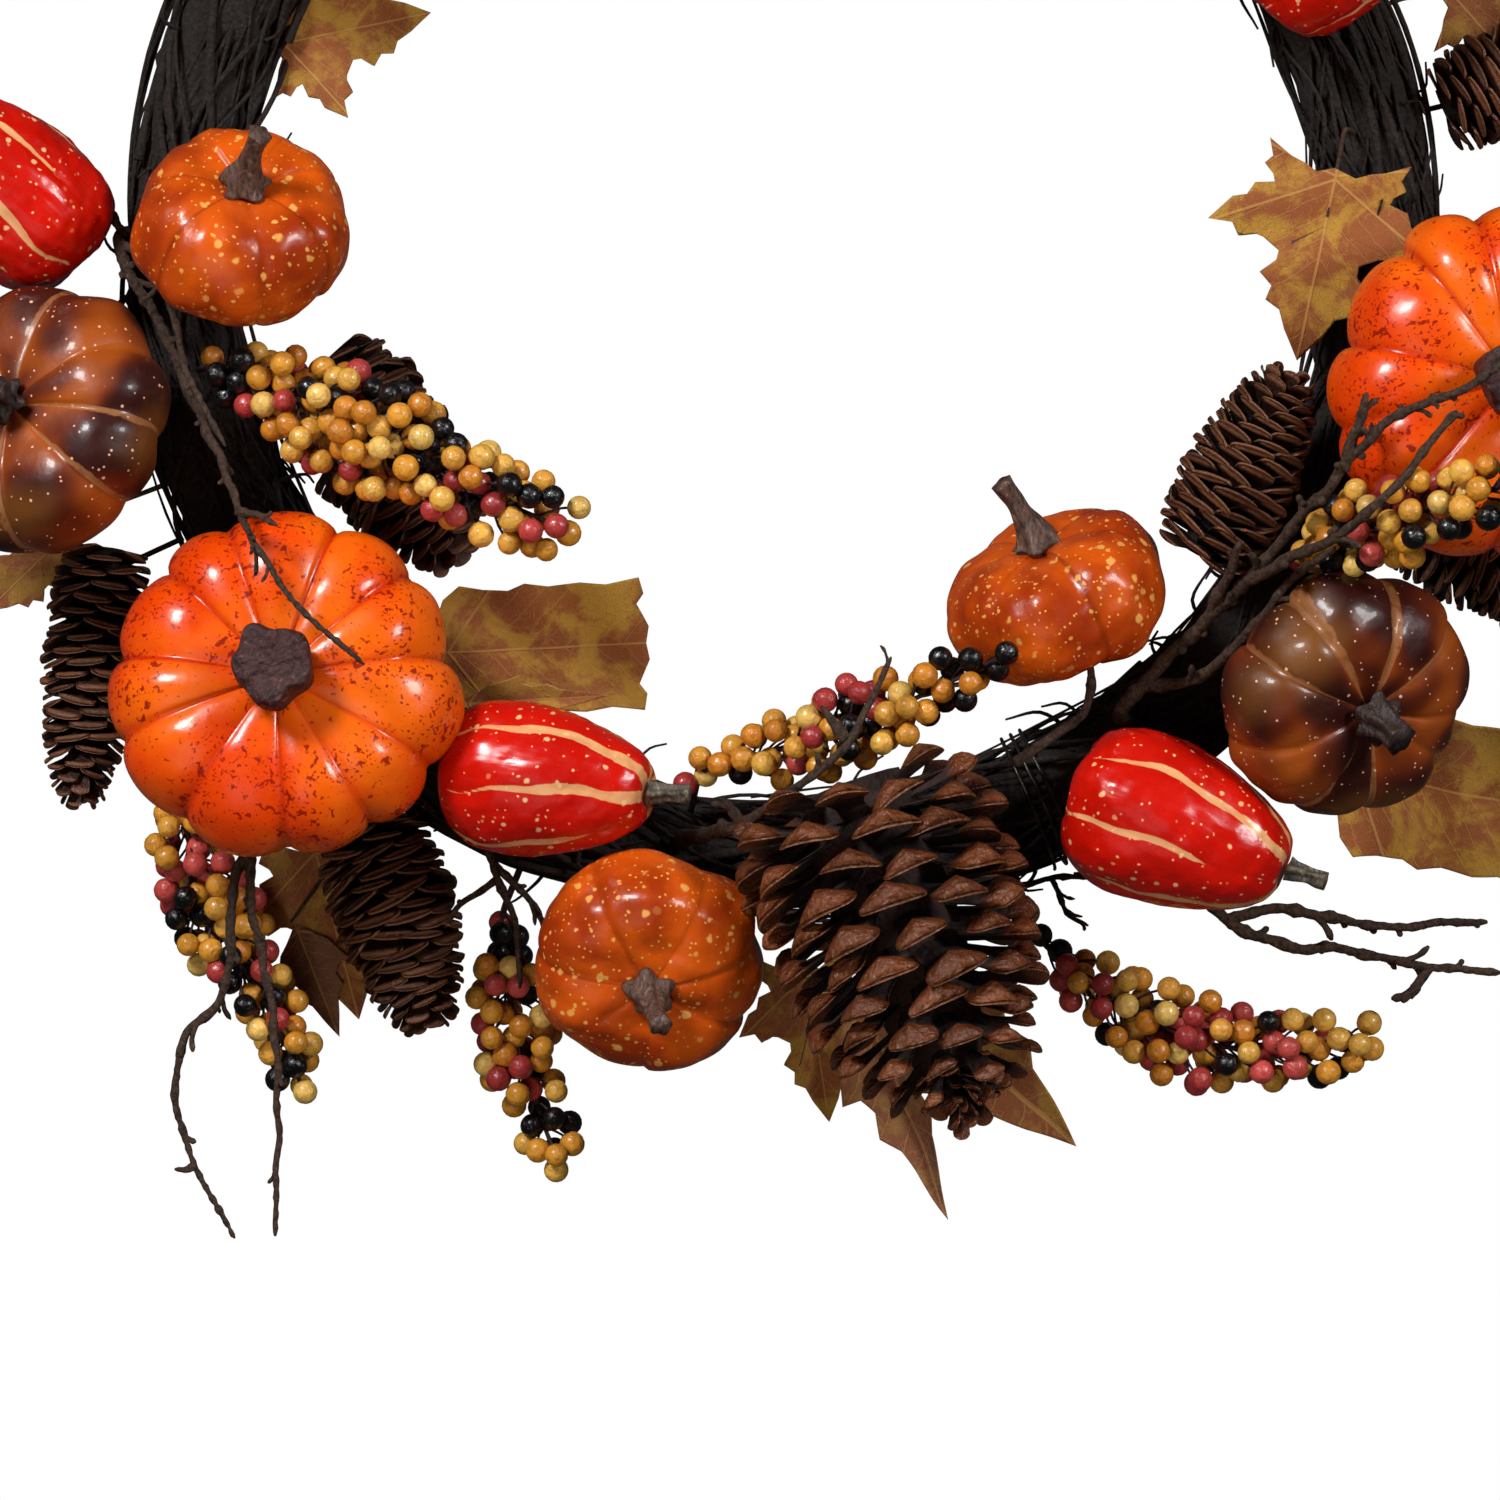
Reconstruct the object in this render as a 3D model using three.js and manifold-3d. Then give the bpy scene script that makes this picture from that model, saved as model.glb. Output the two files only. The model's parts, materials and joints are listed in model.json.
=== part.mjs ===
// Harvest door wreath: foam pumpkins and gourds, pine cones, berry sprays, fabric leaves and twigs,
// seated round a bound vine ring that hangs from a wire loop. Millimetres, +Z up, front facing -Y.
// The origin is where a door hook bears, under the top bend of the hanger loop.
import * as THREE from 'three';
import { mergeVertices } from 'three/addons/utils/BufferGeometryUtils.js';
import Module from 'manifold-3d';

const wasm = await Module();
wasm.setup();

// Driving dimensions
const RING_RADIUS = 186; // centre of the vine bundle, and of the wire hoop in its back
const BUNDLE_HALF_WIDTH = 23; // across the face of the ring
const BUNDLE_HALF_DEPTH = 20;
const BUNDLE_DEPTH = 24; // bundle centre, in front of the door
const SEAT_GAP = 0.5; // between the bundle and what is seated on it
const GROOVE_HALF_WIDTH = 6; // channel in the back of the bundle that holds the hoop
const GROOVE_DEPTH = 8;
const HOOP_WIRE_RADIUS = 1.6;
const HOOP_DEPTH = 6;
const LOOP_WIRE_RADIUS = 1;
const LOOP_HALF_WIDTH = 8;
const LOOP_RISE = 44; // from the hoop's centreline to the hook
const EYE_RADIUS = HOOP_WIRE_RADIUS + 0.9 + LOOP_WIRE_RADIUS; // eye of the loop round the hoop
const LOOP_DEPTH = HOOP_DEPTH - EYE_RADIUS;
const BINDING_WIRE_RADIUS = 0.6;
const BINDING_CLOCK = 154; // clock angle of the one binding that shows
const BINDING_SLACK = 1.2; // between the bundle and the wire bound round it
const HOOP_SIDES = 6;
const HOOP_STEPS = 40;

const FINISH = {
  vine: { color: 0x1d1512, roughness: 0.9, metalness: 0 },
  wire: { color: 0x4a4844, roughness: 0.4, metalness: 0.9 },
  orange: { color: 0xe8560f, roughness: 0.3, metalness: 0 },
  rust: { color: 0xb8400f, roughness: 0.35, metalness: 0 },
  brown: { color: 0x7a3a17, roughness: 0.3, metalness: 0 },
  red: { color: 0xd41a0c, roughness: 0.25, metalness: 0 },
  stem: { color: 0x3b2a26, roughness: 0.7, metalness: 0 },
  cone: { color: 0x4a2a1d, roughness: 0.75, metalness: 0 },
  berry: { color: 0xc98a2a, roughness: 0.35, metalness: 0 },
  leaf: { color: 0x9c6a25, roughness: 0.85, metalness: 0 },
  twig: { color: 0x3a2a24, roughness: 0.9, metalness: 0 },
};

const Z = new THREE.Vector3(0, 0, 1);
const v3 = (p) => new THREE.Vector3(...p);
const smooth = (points) => new THREE.CatmullRomCurve3(points.map(v3));

// A place on the wreath: clock angle in degrees from the top, radius from the ring's centre,
// and depth in front of the door.
function onWreath([clock, radius, depth]) {
  const a = THREE.MathUtils.degToRad(clock);
  return [radius * Math.sin(a), -depth, radius * Math.cos(a)];
}

// --- booleans ---------------------------------------------------------------------------------

function solid(geometry) {
  const bare = geometry.index ? geometry.toNonIndexed() : geometry.clone();
  bare.deleteAttribute('normal');
  bare.deleteAttribute('uv');
  const merged = mergeVertices(bare, 1e-3);
  return new wasm.Manifold(
    new wasm.Mesh({
      numProp: 3,
      vertProperties: merged.attributes.position.array,
      triVerts: new Uint32Array(merged.index.array),
    }),
  );
}

// The largest body of a manifold-3d result, as a geometry.
function geometryOf(manifold) {
  const [largest] = manifold.decompose().sort((a, b) => b.volume() - a.volume());
  const mesh = largest.getMesh();
  return new THREE.BufferGeometry()
    .setAttribute('position', new THREE.BufferAttribute(mesh.vertProperties, 3))
    .setIndex(new THREE.BufferAttribute(mesh.triVerts, 1));
}

function joined(geometries) {
  return geometryOf(geometries.map(solid).reduce((a, b) => a.add(b)));
}

// --- shapes -----------------------------------------------------------------------------------

// A round bar of changing radius along a curve. radiusAt takes 0 at the start to 1 at the end.
function bar(curve, radiusAt, sides = 6, steps = 8) {
  const geometry = new THREE.CylinderGeometry(1, 1, 1, sides, steps);
  const frames = curve.computeFrenetFrames(steps);
  const position = geometry.attributes.position;
  const p = new THREE.Vector3();
  for (let i = 0; i < position.count; i++) {
    p.fromBufferAttribute(position, i);
    const t = p.y + 0.5;
    const step = Math.round(t * steps);
    const radius = radiusAt(t);
    const at = curve.getPointAt(t)
      .addScaledVector(frames.normals[step], p.x * radius)
      .addScaledVector(frames.binormals[step], -p.z * radius);
    position.setXYZ(i, at.x, at.y, at.z);
  }
  return geometry;
}

const taper = (from, to) => (t) => from + (to - from) * t;

// A body turned about +Z from a profile of [radius, height] pairs, foot first, pinched in by ribs.
function turned(profile, around, ribs = 0, ribDepth = 0) {
  const geometry = new THREE.LatheGeometry(profile.map(([r, h]) => new THREE.Vector2(r, h)), around);
  geometry.rotateX(Math.PI / 2);
  const position = geometry.attributes.position;
  for (let i = 0; ribs && i < position.count; i++) {
    const angle = Math.atan2(position.getX(i), -position.getY(i));
    const pinch = 1 - ribDepth * (1 - Math.abs(Math.sin((ribs * angle) / 2)));
    position.setX(i, position.getX(i) * pinch);
    position.setY(i, position.getY(i) * pinch);
  }
  return geometry;
}

const PUMPKIN_ROWS = 8;
const PUMPKIN_DIMPLE = 0.3; // how far each pole is drawn in, as a share of the half height
function pumpkinProfile(radius, height) {
  return Array.from({ length: PUMPKIN_ROWS + 1 }, (_, i) => {
    const angle = Math.PI * (1 - i / PUMPKIN_ROWS);
    const out = Math.sin(angle);
    const drawnIn = 1 - PUMPKIN_DIMPLE * (1 - out) ** 1.5;
    return [radius * out ** 0.8, (height / 2) * Math.cos(angle) * drawnIn];
  });
}

// Pear-shaped: the blossom end is full, and the neck towards the stem is narrow.
const GOURD_ROWS = 8;
function gourdProfile(radius, length) {
  return Array.from({ length: GOURD_ROWS + 1 }, (_, i) => {
    const angle = Math.PI * (1 - i / GOURD_ROWS);
    const neck = 1 - 0.3 * ((1 + Math.cos(angle)) / 2) ** 1.5;
    return [radius * Math.sin(angle) ** 0.8 * neck, (length / 2) * Math.cos(angle)];
  });
}

// Rows of scales stepped out and in along the cone's length, from the butt to the tip at +Z.
function coneProfile(radius, length, rows) {
  const points = [[0, -length / 2]];
  for (let row = 0; row < rows; row++) {
    const t = (row + 0.3) / rows;
    const envelope = radius * Math.sin(Math.PI * (0.88 - 0.76 * t)) ** 0.6;
    const height = length * (t - 0.5);
    points.push([envelope * 0.8, height]);
    points.push([envelope, height + (0.35 * length) / rows]);
  }
  points.push([0, length / 2]);
  return points;
}

// Halves of leaf outlines, as [across, along] shares of the leaf's length.
const MAPLE = [
  [0.02, 0], [0.16, 0.02], [0.34, -0.06], [0.3, 0.1], [0.42, 0.22], [0.56, 0.36],
  [0.4, 0.4], [0.3, 0.5], [0.2, 0.5], [0.22, 0.68], [0.12, 0.76], [0, 1],
];
const BLUNT = [
  [0.02, 0], [0.32, 0.05], [0.4, 0.13], [0.36, 0.36], [0.38, 0.7], [0.4, 0.97], [0.1, 1], [0, 0.985],
];
const NARROW = [
  [0.02, 0], [0.1, 0.13], [0.21, 0.33], [0.25, 0.42], [0.13, 0.5], [0.15, 0.6], [0.06, 0.82], [0, 1],
];
const LEAF_THICKNESS = 0.8;
const STALK_UNDER_BLADE = 0.12; // how far the stalk runs on under the blade, as a share of its length
const STALK_RADII = [1.2, 0.9];

// A leaf on its stalk, growing along +Z from the stalk's foot at the origin, its face to -Y.
// spread is 1 on a leaf that is open flat, and less on one that is partly folded.
function leaf({ outline = MAPLE, length, stalk, cup, spread = 1 }) {
  const right = outline.map(([x, y]) => new THREE.Vector2(x * length * spread, y * length));
  const left = right.slice(1, -1).reverse().map((p) => new THREE.Vector2(-p.x, p.y));
  const blade = new THREE.ExtrudeGeometry(new THREE.Shape([...right, ...left]), {
    depth: LEAF_THICKNESS,
    bevelEnabled: false,
  });
  blade.rotateX(Math.PI / 2);
  blade.translate(0, LEAF_THICKNESS / 2, stalk);
  const position = blade.attributes.position;
  for (let i = 0; i < position.count; i++) {
    const across = position.getX(i) / length;
    position.setY(i, position.getY(i) - cup * length * across * across);
  }
  const foot = smooth([[0, 0, 0], [0, 1, stalk / 2], [0, 0, stalk + length * STALK_UNDER_BLADE]]);
  return joined([blade, bar(foot, taper(...STALK_RADII), 5, 4)]);
}

// A stem with side shoots: each shoot is its place along the stem and the points it grows through.
const SHOOT_SHARE = 0.8; // a shoot's thickness next to the stem's
function twig(points, thick, thin, shoots) {
  const stem = smooth(points);
  const shootBars = shoots.map(([t, ...through]) => {
    const start = stem.getPoint(t);
    const places = through.map(v3);
    const path = new THREE.CatmullRomCurve3([start, start.clone().lerp(places[0], 0.5), ...places]);
    const foot = THREE.MathUtils.lerp(thick, thin, t);
    return bar(path, taper(foot * SHOOT_SHARE, thin * SHOOT_SHARE), 5, 2 + places.length);
  });
  return joined([bar(stem, taper(thick, thin), 6, 2 * points.length), ...shootBars]);
}

// The outer shape of a cluster of berries on a wired stem, full in the middle and lumpy.
function berryCluster(points, radius) {
  const stem = smooth(points);
  const lumps = (t) => 1 + 0.1 * Math.cos(14 * t);
  const envelope = (t) => radius * (0.45 + 0.55 * Math.sin(Math.PI * t ** 0.8)) * lumps(t);
  return bar(stem, envelope, 8, 10);
}

// --- the ring ---------------------------------------------------------------------------------

const RING_STEPS = 40;

function ringBundle(gap = 0) {
  const geometry = new THREE.TorusGeometry(RING_RADIUS, 1, 10, RING_STEPS).rotateX(Math.PI / 2);
  const position = geometry.attributes.position;
  for (let i = 0; i < position.count; i++) {
    const x = position.getX(i);
    const z = position.getZ(i);
    const reach = Math.hypot(x, z);
    const swell = RING_RADIUS + (reach - RING_RADIUS) * (BUNDLE_HALF_WIDTH + gap);
    const y = position.getY(i) * (BUNDLE_HALF_DEPTH + gap);
    position.setXYZ(i, (x / reach) * swell, y, (z / reach) * swell);
  }
  return geometry.translate(0, -BUNDLE_DEPTH, 0);
}

function vineRing() {
  const back = BUNDLE_HALF_DEPTH - BUNDLE_DEPTH;
  const channel = [
    [RING_RADIUS - GROOVE_HALF_WIDTH, back - GROOVE_DEPTH],
    [RING_RADIUS + GROOVE_HALF_WIDTH, back - GROOVE_DEPTH],
    [RING_RADIUS + GROOVE_HALF_WIDTH, back + 2],
    [RING_RADIUS - GROOVE_HALF_WIDTH, back + 2],
    [RING_RADIUS - GROOVE_HALF_WIDTH, back - GROOVE_DEPTH],
  ].map(([r, y]) => new THREE.Vector2(r, y));
  const cutter = new THREE.LatheGeometry(channel, RING_STEPS);
  return geometryOf(solid(ringBundle()).subtract(solid(cutter)));
}

function hoop() {
  return new THREE.TorusGeometry(RING_RADIUS, HOOP_WIRE_RADIUS, HOOP_SIDES, HOOP_STEPS)
    .rotateX(Math.PI / 2)
    .translate(0, -HOOP_DEPTH, 0);
}

// Wire bound round the bundle, in the plane that holds the ring's axis at that clock angle.
// It starts as a thin unit ring, and is stretched to the bundle's two half sizes.
function binding(clock) {
  const unitWire = 0.03;
  const geometry = new THREE.TorusGeometry(1, unitWire, 5, 20);
  const position = geometry.attributes.position;
  const p = new THREE.Vector3();
  for (let i = 0; i < position.count; i++) {
    p.fromBufferAttribute(position, i);
    const around = Math.atan2(p.y, p.x);
    const out = (Math.hypot(p.x, p.y) - 1) / unitWire;
    const clear = BINDING_SLACK + (1 + out) * BINDING_WIRE_RADIUS;
    const x = (BUNDLE_HALF_WIDTH + clear) * Math.cos(around);
    const y = (BUNDLE_HALF_DEPTH + clear) * Math.sin(around);
    position.setXYZ(i, x, y, (p.z / unitWire) * BINDING_WIRE_RADIUS);
  }
  return geometry
    .translate(RING_RADIUS, -BUNDLE_DEPTH, 0)
    .rotateY(THREE.MathUtils.degToRad(clock - 90));
}

// Two eyes closed round the hoop, two legs and a round top, bent from one wire.
const EYE_START = -0.55 * Math.PI; // where the wire's end meets the hoop, and how far it turns round it
const EYE_TURN = 1.45 * Math.PI;
const EYE_STEPS = 6;
const LEG_START = 10; // above the hoop's centreline
const CROWN_ANGLES = [45, 90, 135];
function hangerLoop() {
  const crownHeight = RING_RADIUS + LOOP_RISE + LOOP_WIRE_RADIUS - LOOP_HALF_WIDTH;
  const side = (x) => {
    const eye = Array.from({ length: EYE_STEPS + 1 }, (_, i) => {
      const a = EYE_START - (i * EYE_TURN) / EYE_STEPS;
      return [x, -HOOP_DEPTH + EYE_RADIUS * Math.cos(a), RING_RADIUS + EYE_RADIUS * Math.sin(a)];
    });
    return [...eye, [x, -LOOP_DEPTH, RING_RADIUS + LEG_START], [x, -LOOP_DEPTH, crownHeight]];
  };
  const crown = CROWN_ANGLES.map((deg) => {
    const a = THREE.MathUtils.degToRad(180 - deg);
    return [LOOP_HALF_WIDTH * Math.cos(a), -LOOP_DEPTH, crownHeight + LOOP_HALF_WIDTH * Math.sin(a)];
  });
  const path = smooth([...side(-LOOP_HALF_WIDTH), ...crown, ...side(LOOP_HALF_WIDTH).reverse()]);
  return bar(path, () => LOOP_WIRE_RADIUS, 5, 44);
}

// --- assembly ---------------------------------------------------------------------------------

const wreath = new THREE.Group();
const root = new THREE.Group();
wreath.position.set(0, LOOP_DEPTH, -(RING_RADIUS + LOOP_RISE));
root.add(wreath);

function piece(name, geometry, finish) {
  const mesh = new THREE.Mesh(geometry, new THREE.MeshStandardMaterial(FINISH[finish]));
  mesh.name = name;
  return mesh;
}

// Cuts a piece back from the vine bundle, so that it seats on it with SEAT_GAP to spare.
const bundleClearance = solid(ringBundle(SEAT_GAP));
function seated(mesh, holder = mesh) {
  holder.updateMatrix();
  const toPiece = holder.matrix.clone().invert();
  const cutter = bundleClearance.transform(toPiece.toArray());
  mesh.geometry = geometryOf(solid(mesh.geometry).subtract(cutter));
}

// Where the wire of a piece is tied into the bundle: the place in it nearest to the piece's foot.
const TIE_DEPTH = 0.8; // from the bundle's middle line, as a share of its half sizes
function tiePoint([x, y, z]) {
  const reach = Math.hypot(x, z);
  const out = reach - RING_RADIUS;
  const forward = -y - BUNDLE_DEPTH;
  const share = Math.hypot(out / BUNDLE_HALF_WIDTH, forward / BUNDLE_HALF_DEPTH);
  const inward = Math.min(1, TIE_DEPTH / share);
  const radius = RING_RADIUS + out * inward;
  return [(x / reach) * radius, -BUNDLE_DEPTH - forward * inward, (z / reach) * radius];
}

// The wire from the bundle to a piece's foot, and on to a second point inside the piece.
const TIE_WIRE_RADIUS = 1.3;
const TIE_STEPS = 5;
function tieWire(foot, onward) {
  return bar(smooth([tiePoint(foot), foot, onward]), () => TIE_WIRE_RADIUS, 6, TIE_STEPS);
}

function stand(object, place, axis) {
  object.position.set(...onWreath(place));
  object.quaternion.setFromUnitVectors(Z, v3(axis).normalize());
}

wreath.add(piece('vine_ring', vineRing(), 'vine'));
wreath.add(piece('wire_hoop', hoop(), 'wire'));
wreath.add(piece('hanger_loop', hangerLoop(), 'wire'));
wreath.add(piece('binding_wire', binding(BINDING_CLOCK), 'wire'));

const STEM_FOOT_GAP = 0.6;
const STEM_LIFT = 0.35; // a wide stem's foot stands higher, clear of the dimple's slope
const STEM_NECK = 0.55; // a stem's radius at its tip, as a share of its foot's
const PUMPKIN_RIB_DEPTH = 0.14;

// A ribbed foam body with its stem, on an axis that points out through the stem.
function pumpkin({ name, finish, radius, height, ribs, place, axis, stemLength, stemRadius, lean = 0.25 }) {
  const group = new THREE.Group();
  const profile = pumpkinProfile(radius, height);
  const body = piece(`pumpkin_${name}_body`, turned(profile, 2 * ribs, ribs, PUMPKIN_RIB_DEPTH), finish);
  stand(group, place, axis);
  seated(body, group);
  const foot = (height / 2) * (1 - PUMPKIN_DIMPLE) + STEM_FOOT_GAP + stemRadius * STEM_LIFT;
  const path = smooth([
    [0, 0, foot],
    [(lean * stemLength) / 5, 0, foot + stemLength / 2],
    [lean * stemLength, 0, foot + stemLength],
  ]);
  const flared = (t) => stemRadius * (STEM_NECK + (1 - STEM_NECK) * (1 - t) ** 2);
  group.add(body, piece(`pumpkin_${name}_stem`, bar(path, flared, 6, 3), 'stem'));
  wreath.add(group);
  return group;
}

const ORANGE = { finish: 'orange', ribs: 10, stemLength: 10, stemRadius: 11, lean: 0 };
const RUST = { finish: 'rust', ribs: 9, stemLength: 19, stemRadius: 5 };
const BROWN = { finish: 'brown', ribs: 10, stemLength: 8, stemRadius: 7, lean: 0 };
const PUMPKINS = [
  { name: 'orange_left', ...ORANGE, radius: 54, height: 74, place: [228.5, 201, 80], axis: [0, -1, 0.17] },
  { name: 'orange_right', ...ORANGE, radius: 54, height: 74, place: [100.8, 223, 78], axis: [0.02, -1, 0] },
  { name: 'orange_top', ...ORANGE, radius: 52, height: 72, place: [352, 197, 79], axis: [0.12, -1, 0.1] },
  { name: 'rust_bottom', ...RUST, radius: 35, height: 56, place: [190.5, 221, 70], axis: [0.05, -0.9, -0.42] },
  { name: 'rust_left', ...RUST, radius: 33, height: 56, place: [272, 164, 74], axis: [0.15, -0.75, 0.62] },
  { name: 'rust_top', ...RUST, radius: 34, height: 55, place: [37, 172, 74], axis: [-0.3, -0.85, 0.3] },
  { name: 'brown_left', ...BROWN, radius: 43, height: 62, place: [256.6, 231, 74], axis: [-0.42, -0.86, 0.28] },
  { name: 'brown_right', ...BROWN, radius: 39, height: 58, place: [128.2, 219, 72], axis: [0.38, -0.84, -0.38] },
  { name: 'brown_top', ...BROWN, radius: 40, height: 60, place: [17, 232, 72], axis: [0.35, -0.85, 0.35] },
];
PUMPKINS.forEach(pumpkin);

// The small pumpkin that stands off the ring's inner edge on a wired stalk. The stalk runs from the
// bundle to the pumpkin's underside, and is cut back there from a body a little larger than the pumpkin's.
const STALK_PUMPKIN = { radius: 35, height: 55, place: [141, 136, 56], axis: [-0.36, -0.36, 0.86] };
const STALK_FOOT = onWreath([152.5, 171, 49]);
const STALK_REACH = 24; // from the pumpkin's centre to the stalk's end
const STALK_GAP = 0.6;
const STALK_WIRE_RADII = [1.8, 1.6];
const STALK_BEND = [4, 2, -10]; // the stalk's middle point, from its end
const stalkPumpkin = pumpkin({ name: 'rust_stalk', ...RUST, ...STALK_PUMPKIN, lean: -0.3 });
const underside = v3(STALK_PUMPKIN.axis).normalize().multiplyScalar(-STALK_REACH).add(stalkPumpkin.position);
const stalkPath = smooth([STALK_FOOT, underside.clone().add(v3(STALK_BEND)).toArray(), underside.toArray()]);
const { radius, height } = STALK_PUMPKIN;
const roomyProfile = pumpkinProfile(radius + STALK_GAP, height + 2 * STALK_GAP);
const pumpkinRoom = solid(turned(roomyProfile, 2 * RUST.ribs)).transform(stalkPumpkin.matrix.toArray());
const stalk = bar(stalkPath, taper(...STALK_WIRE_RADII), 6, 6);
const stalkPiece = piece('pumpkin_stalk', geometryOf(solid(stalk).subtract(pumpkinRoom)), 'stem');
seated(stalkPiece);
wreath.add(stalkPiece);

// Red gourds, pointing along their axis towards the stem.
const GOURD_SIDES = 20;
const GOURD_RIBS = 10;
const GOURD_RIB_DEPTH = 0.06;
const GOURD_STEM = { length: 12, bend: 1.5, foot: 3, tip: 2.2 };
function gourd({ name, radius, length, place, axis }) {
  const group = new THREE.Group();
  stand(group, place, axis);
  const shape = turned(gourdProfile(radius, length), GOURD_SIDES, GOURD_RIBS, GOURD_RIB_DEPTH);
  const body = piece(`gourd_${name}_body`, shape, 'red');
  seated(body, group);
  const foot = length / 2 + STEM_FOOT_GAP;
  const { length: stemLength, bend } = GOURD_STEM;
  const path = smooth([[0, 0, foot], [bend * 0.4, 0, foot + stemLength / 2], [bend, 0, foot + stemLength]]);
  const stem = bar(path, taper(GOURD_STEM.foot, GOURD_STEM.tip), 6, 2);
  group.add(body, piece(`gourd_${name}_stem`, stem, 'stem'));
  wreath.add(group);
}

const GOURDS = [
  { name: 'bottom', radius: 27, length: 68, place: [203, 176.5, 72], axis: [0.95, -0.3, -0.08] },
  { name: 'right', radius: 29, length: 73, place: [145.4, 216, 66], axis: [0.93, -0.22, -0.32] },
  { name: 'left', radius: 28, length: 72, place: [275.5, 240, 60], axis: [-0.7, -0.3, 0.65] },
  { name: 'top', radius: 28, length: 72, place: [60, 200, 70], axis: [0.7, -0.35, 0.62] },
];
GOURDS.forEach(gourd);

function cone({ name, radius, length, rows, around = 10, place, axis }) {
  const mesh = piece(`pinecone_${name}`, turned(coneProfile(radius, length, rows), around), 'cone');
  stand(mesh, place, axis);
  seated(mesh);
  wreath.add(mesh);
}

const SLIM = { rows: 7 };
const LARGE = { rows: 8, around: 14 };
const CONES = [
  { name: 'left', ...SLIM, radius: 18, length: 80, place: [238.6, 249, 30], axis: [-0.1, -0.1, -0.98] },
  { name: 'inner_left', ...SLIM, radius: 26, length: 72, place: [243, 137, 30], axis: [0.6, -0.1, -0.8] },
  { name: 'lower_left', ...SLIM, radius: 22, length: 66, place: [210, 238, 28], axis: [0.28, -0.1, -0.95] },
  { name: 'right', ...SLIM, radius: 20, length: 62, place: [115, 156, 60], axis: [0.42, -0.2, 0.88] },
  { name: 'outer_right', ...SLIM, radius: 18, length: 76, place: [113, 250, 30], axis: [0.9, -0.1, -0.4] },
  { name: 'upper_right', ...SLIM, radius: 19, length: 72, place: [76, 246, 30], axis: [0.9, -0.1, 0.4] },
  { name: 'top', ...SLIM, radius: 20, length: 72, place: [343, 248, 28], axis: [-0.35, -0.1, 0.94] },
  {
    name: 'large_bottom', ...LARGE, radius: 45, length: 98,
    place: [170.1, 211, 88], axis: [0.34, -0.1, -0.93],
  },
  { name: 'large_top', ...LARGE, radius: 43, length: 100, place: [313, 214, 88], axis: [-0.7, -0.1, 0.7] },
];
CONES.forEach(cone);

// Berry sprays on wired stems, from the foot to the tip.
const SPRAYS = [
  {
    name: 'inner_left', size: 16,
    points: [[259, 178, 58], [250, 145, 72], [236, 124, 84], [222, 110, 84], [214, 106, 82]],
  },
  {
    name: 'left', size: 13,
    points: [[230, 246, 20], [222, 268, 20], [214, 282, 20], [209, 302, 20]],
  },
  {
    name: 'bottom', size: 12,
    points: [[203, 222, 14], [199.5, 251, 14], [196, 274, 14], [193, 296, 14]],
  },
  {
    name: 'lower_right', size: 14,
    points: [
      [158.9, 227, 15], [155.6, 255, 15], [152.3, 275, 15], [148.6, 290, 15], [144.9, 298, 15], [142, 308, 15],
    ],
  },
  {
    name: 'inner_bottom', size: 12,
    points: [[189, 160, 50], [180.8, 153, 58], [171, 147, 68], [161, 142, 84], [149, 142, 90]],
  },
  {
    name: 'right', size: 12,
    points: [[120, 184, 68], [114.5, 201, 110], [111, 219, 130], [107.4, 235, 133]],
  },
  {
    name: 'upper_right', size: 13,
    points: [[50, 214, 20], [46, 240, 20], [45, 268, 18], [42, 296, 16]],
  },
  {
    name: 'top_left', size: 13,
    points: [[328, 214, 16], [329, 240, 16], [327, 268, 16], [323, 296, 16]],
  },
];
for (const { name, points, size } of SPRAYS) {
  const places = points.map(onWreath);
  const cluster = joined([berryCluster(places, size), tieWire(places[0], places[1])]);
  const mesh = piece(`berry_spray_${name}`, cluster, 'berry');
  seated(mesh);
  wreath.add(mesh);
}

// Fabric leaves: from the stalk's foot, along a direction, with the blade's face turned about it.
function placedLeaf({ foot, direction, turn = 0, ...shape }) {
  const frame = new THREE.Object3D();
  stand(frame, foot, direction);
  frame.rotateZ(THREE.MathUtils.degToRad(turn));
  frame.updateMatrix();
  const start = onWreath(foot);
  const onward = v3(direction).normalize().multiplyScalar(shape.stalk).add(v3(start));
  return joined([leaf(shape).applyMatrix4(frame.matrix), tieWire(start, onward.toArray())]);
}

const CLUSTER_FOOT = [176, 212, 8];
const LEAVES = {
  inner_left: [
    {
      outline: BLUNT, length: 66, stalk: 4, cup: 0.1, spread: 0.78,
      foot: [222, 165, 30], direction: [1, -0.1, 0.04],
    },
  ],
  lower_left: [
    { length: 58, stalk: 12, cup: 0.05, spread: 0.85, foot: [221.4, 226, 2], direction: [0.25, 0, -0.97] },
  ],
  cluster_bottom: [
    { outline: NARROW, length: 84, stalk: 16, cup: 0.1, foot: CLUSTER_FOOT, direction: [0.47, -0.1, -0.88] },
    {
      outline: NARROW, length: 84, stalk: 14, cup: 0.1, spread: 1.4,
      foot: CLUSTER_FOOT, direction: [0.73, -0.1, -0.68],
    },
    { length: 50, stalk: 6, cup: 0.1, spread: 0.8, foot: CLUSTER_FOOT, direction: [0.15, 0, -0.99] },
  ],
  right: [
    {
      outline: BLUNT, length: 66, stalk: 12, cup: 0.15, spread: 0.95,
      foot: [133.5, 227, 14], direction: [0.96, -0.05, -0.2], turn: 12,
    },
  ],
  upper_right: [{ length: 60, stalk: 12, cup: 0.08, foot: [77.7, 178, 48], direction: [-0.2, 0, -0.97] }],
};
for (const [name, blades] of Object.entries(LEAVES)) {
  const mesh = piece(`leaf_${name}`, joined(blades.map(placedLeaf)), 'leaf');
  seated(mesh);
  wreath.add(mesh);
}

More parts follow.
